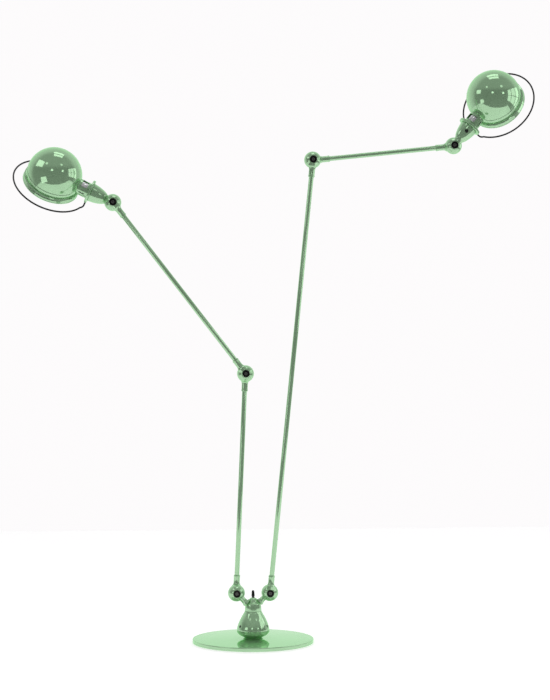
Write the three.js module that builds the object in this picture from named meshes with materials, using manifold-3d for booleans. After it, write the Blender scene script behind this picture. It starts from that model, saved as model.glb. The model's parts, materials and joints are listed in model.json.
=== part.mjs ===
// Floor lamp with two jointed arms: a round base with a pear-shaped post, a forked cap that swivels on it,
// two arms of steel tube on friction ball joints, and a ventilated dome head on the end of each arm.
// Millimetres, +Z up, +X to the right of someone facing the lamp.
// The origin is the centre of the base's underside.

import * as THREE from 'three'
import { mergeVertices } from 'three/addons/utils/BufferGeometryUtils.js'
import Module from 'manifold-3d'

const wasm = await Module()
wasm.setup()

// Clearances
const FIT = 0.3
const WIRE_FIT = 0.5
const OVERCUT = 1

// Base plate and its pad
const BASE_RADIUS = 165
const BASE_HEIGHT = 11
const BASE_EDGE = 2.5
const PAD_THICKNESS = 2
const PAD_PROUD = 1
const PAD_MARGIN = 12

// Pear-shaped post: a bowl below, a bell above, joined at the widest place
const PEAR_RADIUS = 44.5
const PEAR_WALL = 3
const FOOT_RADIUS = 28
const WAIST_RADIUS = 21
const BOWL_DEPTH = 21.5
const BELL_HEIGHT = 52
const SPIGOT_CLEARANCE = 1.4
const SPIGOT_HEIGHT = 19
const STUD_RADIUS = 6
const STUD_HEAD_RADIUS = 12
const STUD_HEAD_HEIGHT = 3.2
const STUD_TOP_CLEARANCE = 12
const PEAR_SCREW_HEIGHT = 13
const PEAR_SCREW_SPREAD = THREE.MathUtils.degToRad(62)
const SCREW_RADIUS = 2
const SCREW_HEAD_RADIUS = 3.2
const SCREW_HEAD_HEIGHT = 2.4
const SCREW_SIDES = 8
const SCREW_HEAD_SIDES = 10
const GROMMET_RADIUS = 6
const GROMMET_LIP = 1
const GROMMET_SINK = 1.5
const GROMMET_HEIGHT = 9

// Forked cap and its switch
const CAP_RADIUS = 22.75
const CAP_HEIGHT = 23
const CAP_WALL = 3.5
const CAP_SHOULDER = 4
const CAP_DOME_RADIUS = 14
const FORK_SPREAD = 45.5
const BRANCH_ROOT = 3.5
const BRANCH_END_GAP = 4
const BRANCH_RADIUS = 7.5
const LEVER_STEM_RADIUS = 2.4
const LEVER_TIP_RADIUS = 4.3
const LEVER_LENGTH = 26
const LEVER_TILT = THREE.MathUtils.degToRad(12)
const LEVER_PIN_RADIUS = 1.2

// Ball joints: two half shells that meet on the arms' plane, held by a bolt through a black cup
const BALL_RADIUS = 23
const BALL_WALL = 3.5
const NECK_OFFSET = 10
const FERRULE_WALL = 1.5
const FERRULE_LENGTH = 25
const SOCKET_DEPTH = 18
const STUB_RADIUS = 5.5
const STUB_LENGTH = 13
const CABLE_RADIUS = 3.5
const BOLT_RADIUS = 2.5
const BOLT_HEAD_RADIUS = 4.8
const BOLT_HEAD_HEIGHT = 3
const BOSS_RADIUS = 6
const BOSS_CLEARANCE = 8
const CUP_RADIUS = 10
const CUP_DEPTH = 8
const CUP_RECESS_RADIUS = 7
const CUP_RECESS_DEPTH = 5
const CUP_LEDGE = 3.5
const DISC_MARGIN = 4
const DISC_THICKNESS = 6

// Arms: lengths from ball centre to ball centre, and angles above +X at rest
const TUBE_RADIUS = 6.5
const TUBE_WALL = 1.5
const BRANCH_ANGLE = 45
const ARMS = {
  left: {
    lower: 597.5,
    upper: 586,
    lowerAngle: 87.64,
    upperAngle: 127.85,
    neckAngle: 154.2,
    swivel: 138.6,
  },
  right: {
    lower: 1187,
    upper: 393,
    lowerAngle: 84.32,
    upperAngle: 6.35,
    neckAngle: 50.86,
    swivel: 48.8,
  },
}

// Heads: distances along the neck are measured from the wrist ball's centre
const HOUSING_LAP = 0.7
const HOUSING_ROOT_RADIUS = 12.8
const HOUSING_RADIUS = 25
const HOUSING_LENGTH = 44.2
const HOUSING_WALL = 2.5
const WEB_THICKNESS = 3
const WEB_DEPTH = 7
const HUB_RADIUS = 12
const HUB_LENGTH = 20
const HUB_CLEARANCE = 2
const WIRE_WAY_RADIUS = 8
const FLANGE_RADIUS = 32.5
const FLANGE_THICKNESS = 6.8
const NECK_SCREW_SETBACK = 16.2
const NECK_SCREW_HEAD_HEIGHT = 1.6
const COLLAR_AIR_GAP = 2.3
const COLLAR_WALL = 2.2
const COLLAR_LENGTH = 41.7
const COLLAR_BAND = 7
const WINDOW_WIDTH = 30
const WINDOW_LENGTH = 17
const SLOT_WIDTH = 4
const SLOT_ANGLES = [35, 62, 89]
const HOLDER_CLEARANCE = 2
const HOLDER_WALL = 2
const HOLDER_FLOOR = 3
const BULB_RADIUS = 30
const BULB_CAP_RADIUS = 13
const BULB_CAP_LENGTH = 26
const BULB_LENGTH = 105
const SHADE_RADIUS = 75
const SHADE_WALL = 1.6
const COLLAR_LAP = 14.8
const SHADE_OFFSET = 2
const RIM_RADIUS = 78
const RIM_START = 23
const RIM_STEP = 3
const RIM_END = 35
const RING_RADIUS = 103
const RING_CLEARANCE = 9
const RING_GAP_HALF_ANGLE = THREE.MathUtils.degToRad(12.5)
const WIRE_RADIUS = 2.25
const RING_RISE = 2.1
const WIRE_PLUG_DEPTH = 5

// How finely round things are cut
const BASE_SIDES = 36
const PEAR_SIDES = 16
const BALL_SIDES = 12
const TUBE_SIDES = 8
const NECK_SIDES = 16
const SHADE_SIDES = 24
const COPE_SIDES = 24
const WIRE_SIDES = 6
const WIRE_STEPS = 42

// Finishes
const LACQUER = new THREE.MeshStandardMaterial({ color: 0x7fb482, roughness: 0.15, metalness: 0.1 })
const BLACK_LACQUER = new THREE.MeshStandardMaterial({ color: 0x17181a, roughness: 0.3, metalness: 0.1 })
const BLACK_PLASTIC = new THREE.MeshStandardMaterial({ color: 0x141414, roughness: 0.4, metalness: 0 })
const BROWN_BOARD = new THREE.MeshStandardMaterial({ color: 0x4a2c1a, roughness: 0.6, metalness: 0 })
const STEEL = new THREE.MeshStandardMaterial({ color: 0x9a9a96, roughness: 0.35, metalness: 1 })
const CHROME = new THREE.MeshStandardMaterial({ color: 0xc9cbcc, roughness: 0.1, metalness: 1 })
const RUBBER = new THREE.MeshStandardMaterial({ color: 0x1c1c1c, roughness: 0.9, metalness: 0 })
const OPAL_GLASS = new THREE.MeshStandardMaterial({ color: 0xf2efe6, roughness: 0.3, metalness: 0 })

// Shapes. A profile is a list of [radius, height] points, turned about +Z.

function arc(radius, height, across, along, from, to, steps) {
  const points = []
  for (let i = 0; i <= steps; i++) {
    const angle = THREE.MathUtils.degToRad(from + ((to - from) * i) / steps)
    points.push([radius + across * Math.cos(angle), height + along * Math.sin(angle)])
  }
  return points
}

function revolve(profile, sides) {
  const outline = profile.map(([radius, height]) => new THREE.Vector2(Math.max(radius, 0), height))
  const touchesAxis = outline[0].x < 1e-6 && outline[outline.length - 1].x < 1e-6
  if (!touchesAxis) {
    outline.push(outline[0].clone())
  }
  return new THREE.LatheGeometry(outline, sides).rotateX(Math.PI / 2)
}

function rod(radius, from, to, sides = TUBE_SIDES) {
  const cylinder = new THREE.CylinderGeometry(radius, radius, to - from, sides)
  return cylinder.rotateX(Math.PI / 2).translate(0, 0, (from + to) / 2)
}

function ball(radius, sides = BALL_SIDES) {
  return new THREE.SphereGeometry(radius, sides, sides / 2).rotateX(Math.PI / 2)
}

function asSolid(geometry) {
  const bare = geometry.clone()
  bare.deleteAttribute('normal')
  bare.deleteAttribute('uv')
  const merged = mergeVertices(bare, 1e-3)
  const places = merged.attributes.position.array
  const corners = merged.index.array
  const triangles = []
  let volume = 0
  for (let i = 0; i < corners.length; i += 3) {
    const [a, b, c] = corners.slice(i, i + 3)
    if (a !== b && b !== c && c !== a) {
      triangles.push([a, b, c])
      const [p, q, r] = [a, b, c].map((corner) => new THREE.Vector3().fromArray(places, corner * 3))
      volume += p.dot(q.cross(r))
    }
  }
  const outward = volume > 0 ? triangles : triangles.map(([a, b, c]) => [a, c, b])
  const mesh = new wasm.Mesh({
    numProp: 3,
    vertProperties: Float32Array.from(places),
    triVerts: Uint32Array.from(outward.flat()),
  })
  return new wasm.Manifold(mesh)
}

function asGeometry(solid) {
  const mesh = solid.getMesh()
  const geometry = new THREE.BufferGeometry()
  geometry.setAttribute('position', new THREE.BufferAttribute(mesh.vertProperties, 3))
  geometry.setIndex(new THREE.BufferAttribute(mesh.triVerts, 1))
  geometry.computeVertexNormals()
  return geometry
}

function cut(body, ...tools) {
  return asGeometry(tools.reduce((rest, tool) => rest.subtract(asSolid(tool)), asSolid(body)))
}

function join(body, ...others) {
  return asGeometry(others.reduce((whole, other) => whole.add(asSolid(other)), asSolid(body)))
}

function overlap(body, other) {
  return asGeometry(asSolid(body).intersect(asSolid(other)))
}

function piece(name, geometry, material) {
  const mesh = new THREE.Mesh(asGeometry(asSolid(geometry)), material)
  mesh.name = name
  return mesh
}

// A frame whose +Z points at an angle above +X in the arms' plane, while +Y stays the hinge direction.
function armFrame(x, z, angle) {
  const frame = new THREE.Group()
  frame.position.set(x, 0, z)
  frame.rotation.y = Math.PI / 2 - THREE.MathUtils.degToRad(angle)
  return frame
}

// Heights that several pieces share
const padTop = PAD_THICKNESS
const seamHeight = BASE_HEIGHT + FIT + BOWL_DEPTH
const bellBottom = seamHeight + FIT
const bellTop = bellBottom + BELL_HEIGHT
const capBottom = bellTop + FIT
const capTop = capBottom + CAP_HEIGHT
const domeCentre = capTop
const branchAngle = (side) => (side < 0 ? -BRANCH_ANGLE : 180 + BRANCH_ANGLE)
const forkHeight = capBottom + BRANCH_ROOT + FORK_SPREAD * Math.tan(THREE.MathUtils.degToRad(BRANCH_ANGLE))
const leverPivot = domeCentre + CAP_DOME_RADIUS / 2
const screwHeight = seamHeight + PEAR_SCREW_HEIGHT
const stubReach = BALL_RADIUS + STUB_LENGTH
const grommetSeat = PEAR_RADIUS * Math.sqrt(1 - (GROMMET_HEIGHT / BOWL_DEPTH) ** 2) - GROMMET_SINK
const bellProfile = [
  [PEAR_RADIUS, bellBottom],
  [PEAR_RADIUS * 0.985, bellBottom + BELL_HEIGHT * 0.12],
  [PEAR_RADIUS * 0.935, bellBottom + BELL_HEIGHT * 0.27],
  [PEAR_RADIUS * 0.84, bellBottom + BELL_HEIGHT * 0.48],
  [PEAR_RADIUS * 0.75, bellBottom + BELL_HEIGHT * 0.64],
  [CAP_RADIUS + 5.8, bellBottom + BELL_HEIGHT * 0.8],
  [CAP_RADIUS + 2, bellBottom + BELL_HEIGHT * 0.92],
  [CAP_RADIUS, bellTop],
]

function radiusAt(profile, height) {
  const above = profile.findIndex(([, place]) => place >= height)
  const [r1, z1] = profile[above]
  const [r0, z0] = profile[above - 1]
  return THREE.MathUtils.mapLinear(height, z0, z1, r0, r1)
}

const spigotTop = seamHeight + SPIGOT_HEIGHT
const spigotRadius = radiusAt(bellProfile, spigotTop) - PEAR_WALL - SPIGOT_CLEARANCE
const spigotInner = spigotRadius - PEAR_WALL
const screwTip = spigotInner - OVERCUT

// Base

function basePlate() {
  const rimBottom = PAD_PROUD
  const padRecess = BASE_RADIUS - PAD_MARGIN + FIT
  const headRecess = padTop + FIT + STUD_HEAD_HEIGHT + 2 * FIT
  return revolve(
    [
      [STUD_RADIUS + FIT, headRecess],
      [STUD_HEAD_RADIUS + FIT, headRecess],
      [STUD_HEAD_RADIUS + FIT, padTop + FIT],
      [padRecess, padTop + FIT],
      [padRecess, rimBottom],
      [BASE_RADIUS - BASE_EDGE / 2, rimBottom],
      [BASE_RADIUS, rimBottom + BASE_EDGE / 2],
      [BASE_RADIUS, BASE_HEIGHT - BASE_EDGE],
      [BASE_RADIUS - BASE_EDGE * 0.3, BASE_HEIGHT - BASE_EDGE * 0.3],
      [BASE_RADIUS - BASE_EDGE, BASE_HEIGHT],
      [STUD_RADIUS + FIT, BASE_HEIGHT],
    ],
    BASE_SIDES,
  )
}

function footPad() {
  return rod(BASE_RADIUS - PAD_MARGIN, 0, PAD_THICKNESS, BASE_SIDES)
}

// Turns a shape whose axis is +Z to lie along one of the bell's screws
function toScrewPlace(tool, side) {
  return tool.rotateX(Math.PI / 2).rotateZ(side * PEAR_SCREW_SPREAD).translate(0, 0, screwHeight)
}

function pearBowl() {
  const bottom = BASE_HEIGHT + FIT
  const waist = Math.asin(WAIST_RADIUS / PEAR_RADIUS)
  const waistAngle = THREE.MathUtils.radToDeg(waist) - 90
  const inside = arc(0, seamHeight, spigotInner, BOWL_DEPTH - 2 * PEAR_WALL, 0, waistAngle, 4)
  const shell = revolve(
    [
      [STUD_RADIUS + FIT, bottom],
      [FOOT_RADIUS, bottom],
      [FOOT_RADIUS * 0.86, bottom + 1.2],
      ...arc(0, seamHeight, PEAR_RADIUS, BOWL_DEPTH, waistAngle, 0, 7),
      [spigotRadius, seamHeight],
      [spigotRadius, spigotTop],
      [spigotInner, spigotTop],
      ...inside,
      [STUD_RADIUS + FIT, inside[inside.length - 1][1]],
    ],
    PEAR_SIDES,
  )
  const screwHoles = [-1, 1].map((side) => {
    return toScrewPlace(rod(SCREW_RADIUS + FIT, screwTip - OVERCUT, PEAR_RADIUS, SCREW_SIDES), side)
  })
  const cableHoles = [
    rod(GROMMET_RADIUS - GROMMET_LIP + FIT, 0, PEAR_RADIUS, SCREW_HEAD_SIDES),
    rod(GROMMET_RADIUS + FIT, grommetSeat - FIT, PEAR_RADIUS + OVERCUT, SCREW_HEAD_SIDES),
  ].map((hole) => hole.rotateX(-Math.PI / 2).translate(0, 0, seamHeight - GROMMET_HEIGHT))
  return cut(shell, ...screwHoles, ...cableHoles)
}

function pearBell() {
  const ceiling = bellTop - PEAR_WALL
  const inside = bellProfile.map(([radius, height]) => [radius - PEAR_WALL, Math.min(height, ceiling)])
  const shell = revolve(
    [
      ...bellProfile,
      [STUD_RADIUS + FIT, bellTop],
      [STUD_RADIUS + FIT, ceiling],
      ...inside.reverse(),
    ],
    PEAR_SIDES,
  )
  const headSeat = radiusAt(bellProfile, screwHeight) - SCREW_HEAD_HEIGHT
  const tools = [-1, 1].flatMap((side) => [
    toScrewPlace(rod(SCREW_HEAD_RADIUS + FIT, headSeat, PEAR_RADIUS + OVERCUT, SCREW_HEAD_SIDES), side),
    toScrewPlace(rod(SCREW_RADIUS + FIT, screwTip - OVERCUT, PEAR_RADIUS, SCREW_SIDES), side),
  ])
  return cut(shell, ...tools)
}

function pearScrew() {
  const headSeat = radiusAt(bellProfile, screwHeight) - SCREW_HEAD_HEIGHT + FIT
  return revolve(
    [
      [0, screwTip],
      [SCREW_RADIUS, screwTip],
      [SCREW_RADIUS, headSeat],
      [SCREW_HEAD_RADIUS, headSeat],
      [SCREW_HEAD_RADIUS, headSeat + SCREW_HEAD_HEIGHT - 0.4],
      [SCREW_HEAD_RADIUS * 0.7, headSeat + SCREW_HEAD_HEIGHT],
      [0, headSeat + SCREW_HEAD_HEIGHT],
    ],
    SCREW_HEAD_SIDES,
  )
}

function centreStud() {
  const headBottom = padTop + 2 * FIT
  const top = capBottom + STUD_TOP_CLEARANCE
  return revolve(
    [
      [CABLE_RADIUS, headBottom],
      [STUD_HEAD_RADIUS, headBottom],
      [STUD_HEAD_RADIUS, headBottom + STUD_HEAD_HEIGHT],
      [STUD_RADIUS, headBottom + STUD_HEAD_HEIGHT],
      [STUD_RADIUS, top],
      [CABLE_RADIUS, top],
    ],
    TUBE_SIDES,
  )
}

function cableGrommet() {
  return revolve(
    [
      [CABLE_RADIUS, screwTip],
      [GROMMET_RADIUS - GROMMET_LIP, screwTip],
      [GROMMET_RADIUS - GROMMET_LIP, grommetSeat],
      [GROMMET_RADIUS, grommetSeat],
      [GROMMET_RADIUS, PEAR_RADIUS],
      [CABLE_RADIUS, PEAR_RADIUS],
    ],
    SCREW_HEAD_SIDES,
  )
}

// Forked cap and switch

// Turns a shape whose axis is +Z to run from a fork's ball centre down its branch
function toBranch(tool, side) {
  const turn = Math.PI / 2 - THREE.MathUtils.degToRad(branchAngle(side))
  return tool
    .translate(0, side * NECK_OFFSET, 0)
    .rotateY(turn)
    .translate(side * FORK_SPREAD, 0, forkHeight)
}

function yokeCap() {
  const branchEnd = FORK_SPREAD / Math.cos(THREE.MathUtils.degToRad(BRANCH_ANGLE)) - BRANCH_END_GAP
  const outside = revolve(
    [
      [0, capBottom],
      [CAP_RADIUS, capBottom],
      ...arc(CAP_RADIUS - CAP_SHOULDER, capTop - CAP_SHOULDER, CAP_SHOULDER, CAP_SHOULDER, 0, 75, 3),
      ...arc(0, domeCentre, CAP_DOME_RADIUS, CAP_DOME_RADIUS, 8, 90, 4),
    ],
    PEAR_SIDES,
  )
  const inside = revolve(
    [
      [0, capBottom + CAP_WALL],
      [CAP_RADIUS - CAP_WALL, capBottom + CAP_WALL],
      [CAP_RADIUS - CAP_WALL, capTop - CAP_SHOULDER - CAP_WALL],
      ...arc(0, domeCentre, CAP_DOME_RADIUS - CAP_WALL, CAP_DOME_RADIUS - CAP_WALL, -10, 90, 4),
    ],
    PEAR_SIDES,
  )
  const branches = [-1, 1].map((side) => toBranch(rod(BRANCH_RADIUS, BALL_RADIUS / 2, branchEnd), side))
  const tools = [-1, 1].flatMap((side) => [
    toBranch(ball(BALL_RADIUS + 2 * FIT, COPE_SIDES).translate(0, -side * NECK_OFFSET, 0), side),
    toBranch(rod(STUB_RADIUS + FIT, 0, stubReach + FIT), side),
    toBranch(rod(CABLE_RADIUS, 0, branchEnd), side),
  ])
  const leverHole = rod(LEVER_STEM_RADIUS * 1.9, leverPivot, domeCentre + 2 * CAP_DOME_RADIUS)
  const studHole = rod(STUD_RADIUS + FIT, capBottom - OVERCUT, capBottom + CAP_WALL + OVERCUT, COPE_SIDES)
  const pinHole = rod(LEVER_PIN_RADIUS + FIT, -CAP_RADIUS, CAP_RADIUS)
  pinHole.rotateY(Math.PI / 2).translate(0, 0, leverPivot)
  return cut(join(outside, ...branches), inside, ...tools, leverHole, studHole, pinHole)
}

function switchLever() {
  const tipStart = LEVER_LENGTH * 0.4
  const lever = revolve(
    [
      [0, -LEVER_STEM_RADIUS],
      [LEVER_STEM_RADIUS * 1.4, 0],
      [LEVER_STEM_RADIUS, LEVER_STEM_RADIUS],
      [LEVER_STEM_RADIUS, tipStart * 0.8],
      [LEVER_TIP_RADIUS * 0.8, tipStart],
      [LEVER_TIP_RADIUS, LEVER_LENGTH - LEVER_TIP_RADIUS],
      [LEVER_TIP_RADIUS * 0.7, LEVER_LENGTH - LEVER_TIP_RADIUS * 0.3],
      [0, LEVER_LENGTH],
    ],
    SCREW_HEAD_SIDES,
  )
  const pinReach = CAP_DOME_RADIUS - CAP_WALL / 2
  return join(lever, rod(LEVER_PIN_RADIUS, -pinReach, pinReach).rotateY(Math.PI / 2))
}

// Ball joints. "side" is -1 for the front half and +1 for the rear half.

const towardsSide = (geometry, side) => geometry.rotateX((-side * Math.PI) / 2)
const ferruleRadius = TUBE_RADIUS + FIT + FERRULE_WALL
const ferruleReach = BALL_RADIUS + FERRULE_LENGTH
const socketFloor = ferruleReach - SOCKET_DEPTH

// Distances from the ball's centre along the bolt
const cupMouth = Math.sqrt(BALL_RADIUS ** 2 - (CUP_RADIUS + FIT) ** 2)
const cupSeat = cupMouth - CUP_DEPTH
const boltEnd = BALL_RADIUS - BALL_WALL - BOLT_HEAD_HEIGHT

// What leads out of a half shell: a plain stub that goes into another piece, or a ferrule that takes a tube
function neckShape(kind) {
  const root = BALL_RADIUS / 2
  if (kind === 'stub') {
    return {
      outside: rod(STUB_RADIUS, root, stubReach),
      bores: [rod(CABLE_RADIUS, root, stubReach + OVERCUT)],
    }
  }
  const outside = revolve(
    [
      [0, root],
      [ferruleRadius, root],
      [ferruleRadius, ferruleReach - 1],
      [ferruleRadius - 1, ferruleReach],
      [0, ferruleReach],
    ],
    TUBE_SIDES,
  )
  return {
    outside,
    bores: [
      rod(TUBE_RADIUS + FIT, socketFloor, ferruleReach + OVERCUT),
      rod(CABLE_RADIUS, root, socketFloor + OVERCUT),
    ],
  }
}

function halfShell(side, kind) {
  const dome = revolve([[0, FIT / 2], ...arc(0, 0, BALL_RADIUS, BALL_RADIUS, 0.4, 90, 3)], BALL_SIDES)
  const neck = neckShape(kind)
  const aside = (geometry) => geometry.translate(0, side * NECK_OFFSET, 0)
  const inner = BALL_RADIUS - BALL_WALL
  const whole = join(towardsSide(dome, side), aside(neck.outside))
  const shell = cut(whole, ball(inner, TUBE_SIDES), ...neck.bores.map(aside))
  const isFront = side < 0
  const bossRadius = isFront ? CUP_RADIUS + CUP_LEDGE - 1 : BOSS_RADIUS
  const bossStart = isFront ? cupSeat - CUP_LEDGE : BOSS_CLEARANCE
  const boss = overlap(rod(bossRadius, bossStart, BALL_RADIUS), ball(BALL_RADIUS - BALL_WALL / 2))
  const boltHole = rod(BOLT_RADIUS + FIT, -OVERCUT, isFront ? BALL_RADIUS : boltEnd + FIT)
  const cupHole = rod(CUP_RADIUS + FIT, cupSeat, BALL_RADIUS + OVERCUT, BALL_SIDES)
  const holes = isFront ? [boltHole, cupHole] : [boltHole]
  const tools = holes.map((hole) => towardsSide(hole, side))
  return cut(join(shell, towardsSide(boss, side)), ...tools)
}

function jointCup() {
  const back = cupSeat + FIT
  const front = cupMouth + FIT
  const cup = revolve(
    [
      [BOLT_RADIUS + FIT, back],
      [CUP_RADIUS, back],
      [CUP_RADIUS, front - 0.8],
      [CUP_RADIUS - 0.8, front],
      [CUP_RECESS_RADIUS, front],
      [CUP_RECESS_RADIUS, front - CUP_RECESS_DEPTH],
      [BOLT_RADIUS + FIT, front - CUP_RECESS_DEPTH],
    ],
    BALL_SIDES,
  )
  return towardsSide(cup, -1)
}

function jointBolt() {
  const headSeat = cupMouth + 2 * FIT - CUP_RECESS_DEPTH
  const bolt = revolve(
    [
      [0, -boltEnd],
      [BOLT_RADIUS, -boltEnd],
      [BOLT_RADIUS, headSeat],
      [BOLT_HEAD_RADIUS, headSeat],
      [BOLT_HEAD_RADIUS, headSeat + BOLT_HEAD_HEIGHT],
      [0, headSeat + BOLT_HEAD_HEIGHT],
    ],
    SCREW_HEAD_SIDES,
  )
  return towardsSide(bolt, -1)
}

function contactDisc() {
  const radius = BALL_RADIUS - BALL_WALL - DISC_MARGIN
  const disc = revolve(
    [
      [BOLT_RADIUS + FIT, FIT],
      [radius, FIT],
      [radius, DISC_THICKNESS],
      [BOLT_RADIUS + FIT, DISC_THICKNESS],
    ],
    BALL_SIDES,
  )
  return towardsSide(disc, 1)
}

// The front half carries the cup and the bolt, and the rear half carries the contact disc.
function addHalf(joint, side, kind, frame) {
  if (side < 0) {
    frame.add(piece(`${joint}_front_half`, halfShell(side, kind), LACQUER))
    frame.add(piece(`${joint}_bolt`, jointBolt(), STEEL))
    frame.add(piece(`${joint}_cup`, jointCup(), BLACK_PLASTIC))
  } else {
    frame.add(piece(`${joint}_rear_half`, halfShell(side, kind), LACQUER))
    frame.add(piece(`${joint}_contact_disc`, contactDisc(), BROWN_BOARD))
  }
}

// Arms

function addArm(name, side, startJoint, endJoint, length, frame) {
  const tubeStart = socketFloor + FIT
  const tube = revolve(
    [
      [TUBE_RADIUS - TUBE_WALL, tubeStart],
      [TUBE_RADIUS, tubeStart],
      [TUBE_RADIUS, length - tubeStart],
      [TUBE_RADIUS - TUBE_WALL, length - tubeStart],
    ],
    TUBE_SIDES,
  )
  addHalf(startJoint, side, 'ferrule', frame)
  frame.add(piece(`${name}_tube`, tube.translate(0, side * NECK_OFFSET, 0), LACQUER))
  const farEnd = new THREE.Group()
  farEnd.position.z = length
  farEnd.rotation.y = Math.PI
  addHalf(endJoint, side, 'ferrule', farEnd)
  frame.add(farEnd)
}

// Heads. +Z runs along the neck and +X is the way that the shade opens.

const housingStart = Math.sqrt(BALL_RADIUS ** 2 - NECK_OFFSET ** 2) - HOUSING_LAP
const housingEnd = housingStart + HOUSING_LENGTH
const neckScrewPlace = housingEnd - NECK_SCREW_SETBACK
const hubClearance = HUB_RADIUS + HUB_CLEARANCE
const flangeBottom = housingEnd + FIT
const flangeTop = flangeBottom + FLANGE_THICKNESS
const collarBottom = flangeTop + FIT
const collarTop = collarBottom + COLLAR_LENGTH
const holderInner = BULB_CAP_RADIUS + HOLDER_CLEARANCE
const holderRadius = holderInner + HOLDER_WALL
const collarInner = holderRadius + COLLAR_AIR_GAP
const collarRadius = collarInner + COLLAR_WALL
const shadeCentre = collarTop - COLLAR_LAP + SHADE_RADIUS
const housingRoot = BALL_RADIUS / 2
const housingProfile = [
  [HOUSING_ROOT_RADIUS * 0.9, housingRoot],
  [HOUSING_ROOT_RADIUS, housingStart],
  [HOUSING_RADIUS * 0.68, housingStart + HOUSING_LENGTH * 0.18],
  [HOUSING_RADIUS * 0.81, housingStart + HOUSING_LENGTH * 0.38],
  [HOUSING_RADIUS * 0.91, housingStart + HOUSING_LENGTH * 0.61],
  [HOUSING_RADIUS * 0.97, housingStart + HOUSING_LENGTH * 0.82],
  [HOUSING_RADIUS, housingEnd],
]

function neckHousing(side) {
  const webTop = housingEnd - WEB_DEPTH
  const webBottom = webTop - WEB_THICKNESS
  const inner = HOUSING_RADIUS - HOUSING_WALL
  const shell = revolve([[0, housingRoot], ...housingProfile, [0, housingEnd]], NECK_SIDES)
  const hollow = revolve(
    [
      [0, stubReach + FIT],
      [STUB_RADIUS + FIT, stubReach + FIT],
      [inner * 0.72, housingStart + HOUSING_LENGTH * 0.58],
      [inner * 0.88, webBottom],
      [0, webBottom],
    ],
    TUBE_SIDES,
  )
  const mouth = rod(inner, webTop, housingEnd + OVERCUT, NECK_SIDES)
  const hubHole = rod(HUB_RADIUS + FIT, webBottom - OVERCUT, webTop + OVERCUT, COPE_SIDES)
  const stubHole = rod(STUB_RADIUS + FIT, housingRoot - OVERCUT, stubReach + 2 * FIT)
  const cope = ball(BALL_RADIUS + 2 * FIT, COPE_SIDES).translate(0, -side * NECK_OFFSET, 0)
  const screwHole = towardsSide(rod(SCREW_RADIUS + FIT, hubClearance, HOUSING_RADIUS + OVERCUT), side)
  return cut(shell, hollow, mouth, hubHole, stubHole, cope, screwHole.translate(0, 0, neckScrewPlace))
}

function neckScrew(side) {
  const headSeat = radiusAt(housingProfile, neckScrewPlace + SCREW_HEAD_RADIUS) + FIT
  const screw = revolve(
    [
      [0, hubClearance + FIT],
      [SCREW_RADIUS, hubClearance + FIT],
      [SCREW_RADIUS, headSeat],
      [SCREW_HEAD_RADIUS, headSeat],
      [SCREW_HEAD_RADIUS, headSeat + NECK_SCREW_HEAD_HEIGHT],
      [0, headSeat + NECK_SCREW_HEAD_HEIGHT],
    ],
    SCREW_HEAD_SIDES,
  )
  return towardsSide(screw, side).translate(0, 0, neckScrewPlace)
}

const ringOffset = FLANGE_RADIUS + RING_CLEARANCE
const ringPlugAngle = Math.atan2(RING_RADIUS * Math.sin(RING_GAP_HALF_ANGLE), ringOffset)
const ringPlugHeight = flangeBottom + FLANGE_THICKNESS / 2
const ringCentre = ringPlugHeight + RING_RADIUS + RING_RISE
const ringPlugEnd = FLANGE_RADIUS - WIRE_PLUG_DEPTH

function flange() {
  const hubBottom = flangeBottom - HUB_LENGTH
  const plate = revolve(
    [
      [WIRE_WAY_RADIUS, hubBottom],
      [HUB_RADIUS, hubBottom],
      [HUB_RADIUS, flangeBottom],
      [FLANGE_RADIUS - 1, flangeBottom],
      [FLANGE_RADIUS, flangeBottom + 1],
      [FLANGE_RADIUS, flangeTop - 1],
      [FLANGE_RADIUS - 1, flangeTop],
      [WIRE_WAY_RADIUS, flangeTop],
    ],
    NECK_SIDES,
  )
  const holes = [-1, 1].map((side) => {
    const hole = rod(WIRE_RADIUS + WIRE_FIT, ringPlugEnd - OVERCUT, FLANGE_RADIUS + OVERCUT)
    return hole.rotateY(Math.PI / 2).rotateZ(side * ringPlugAngle).translate(0, 0, ringPlugHeight)
  })
  return cut(plate, ...holes)
}

function collar() {
  const tube = revolve(
    [
      [collarInner, collarBottom],
      [collarRadius, collarBottom],
      [collarRadius, collarTop],
      [collarInner, collarTop],
    ],
    NECK_SIDES,
  )
  const openingCentre = collarBottom + COLLAR_BAND + WINDOW_LENGTH / 2
  const opening = (width, angle) =>
    new THREE.BoxGeometry(collarRadius, width, WINDOW_LENGTH)
      .translate(collarRadius, 0, openingCentre)
      .rotateZ(THREE.MathUtils.degToRad(angle))
  const slots = SLOT_ANGLES.flatMap((angle) => [opening(SLOT_WIDTH, angle), opening(SLOT_WIDTH, -angle)])
  return cut(tube, opening(WINDOW_WIDTH, 180), ...slots)
}

function lampholder() {
  const floor = collarBottom
  const length = HOLDER_FLOOR + FIT + BULB_CAP_LENGTH + 1
  return revolve(
    [
      [WIRE_WAY_RADIUS, floor],
      [collarInner - FIT, floor],
      [collarInner - FIT, floor + HOLDER_FLOOR],
      [holderRadius, floor + HOLDER_FLOOR],
      [holderRadius, floor + length],
      [holderInner, floor + length],
      [holderInner, floor + HOLDER_FLOOR],
      [WIRE_WAY_RADIUS, floor + HOLDER_FLOOR],
    ],
    NECK_SIDES,
  )
}

function bulb() {
  const start = collarBottom + HOLDER_FLOOR + FIT
  const globe = start + BULB_LENGTH - BULB_RADIUS
  return revolve(
    [
      [0, start],
      [BULB_CAP_RADIUS * 0.5, start],
      [BULB_CAP_RADIUS, start + 4],
      [BULB_CAP_RADIUS, start + BULB_CAP_LENGTH],
      [BULB_CAP_RADIUS * 1.2, start + BULB_CAP_LENGTH + 10],
      ...arc(0, globe, BULB_RADIUS, BULB_RADIUS, -45, 90, 5),
    ],
    BALL_SIDES,
  )
}

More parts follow.
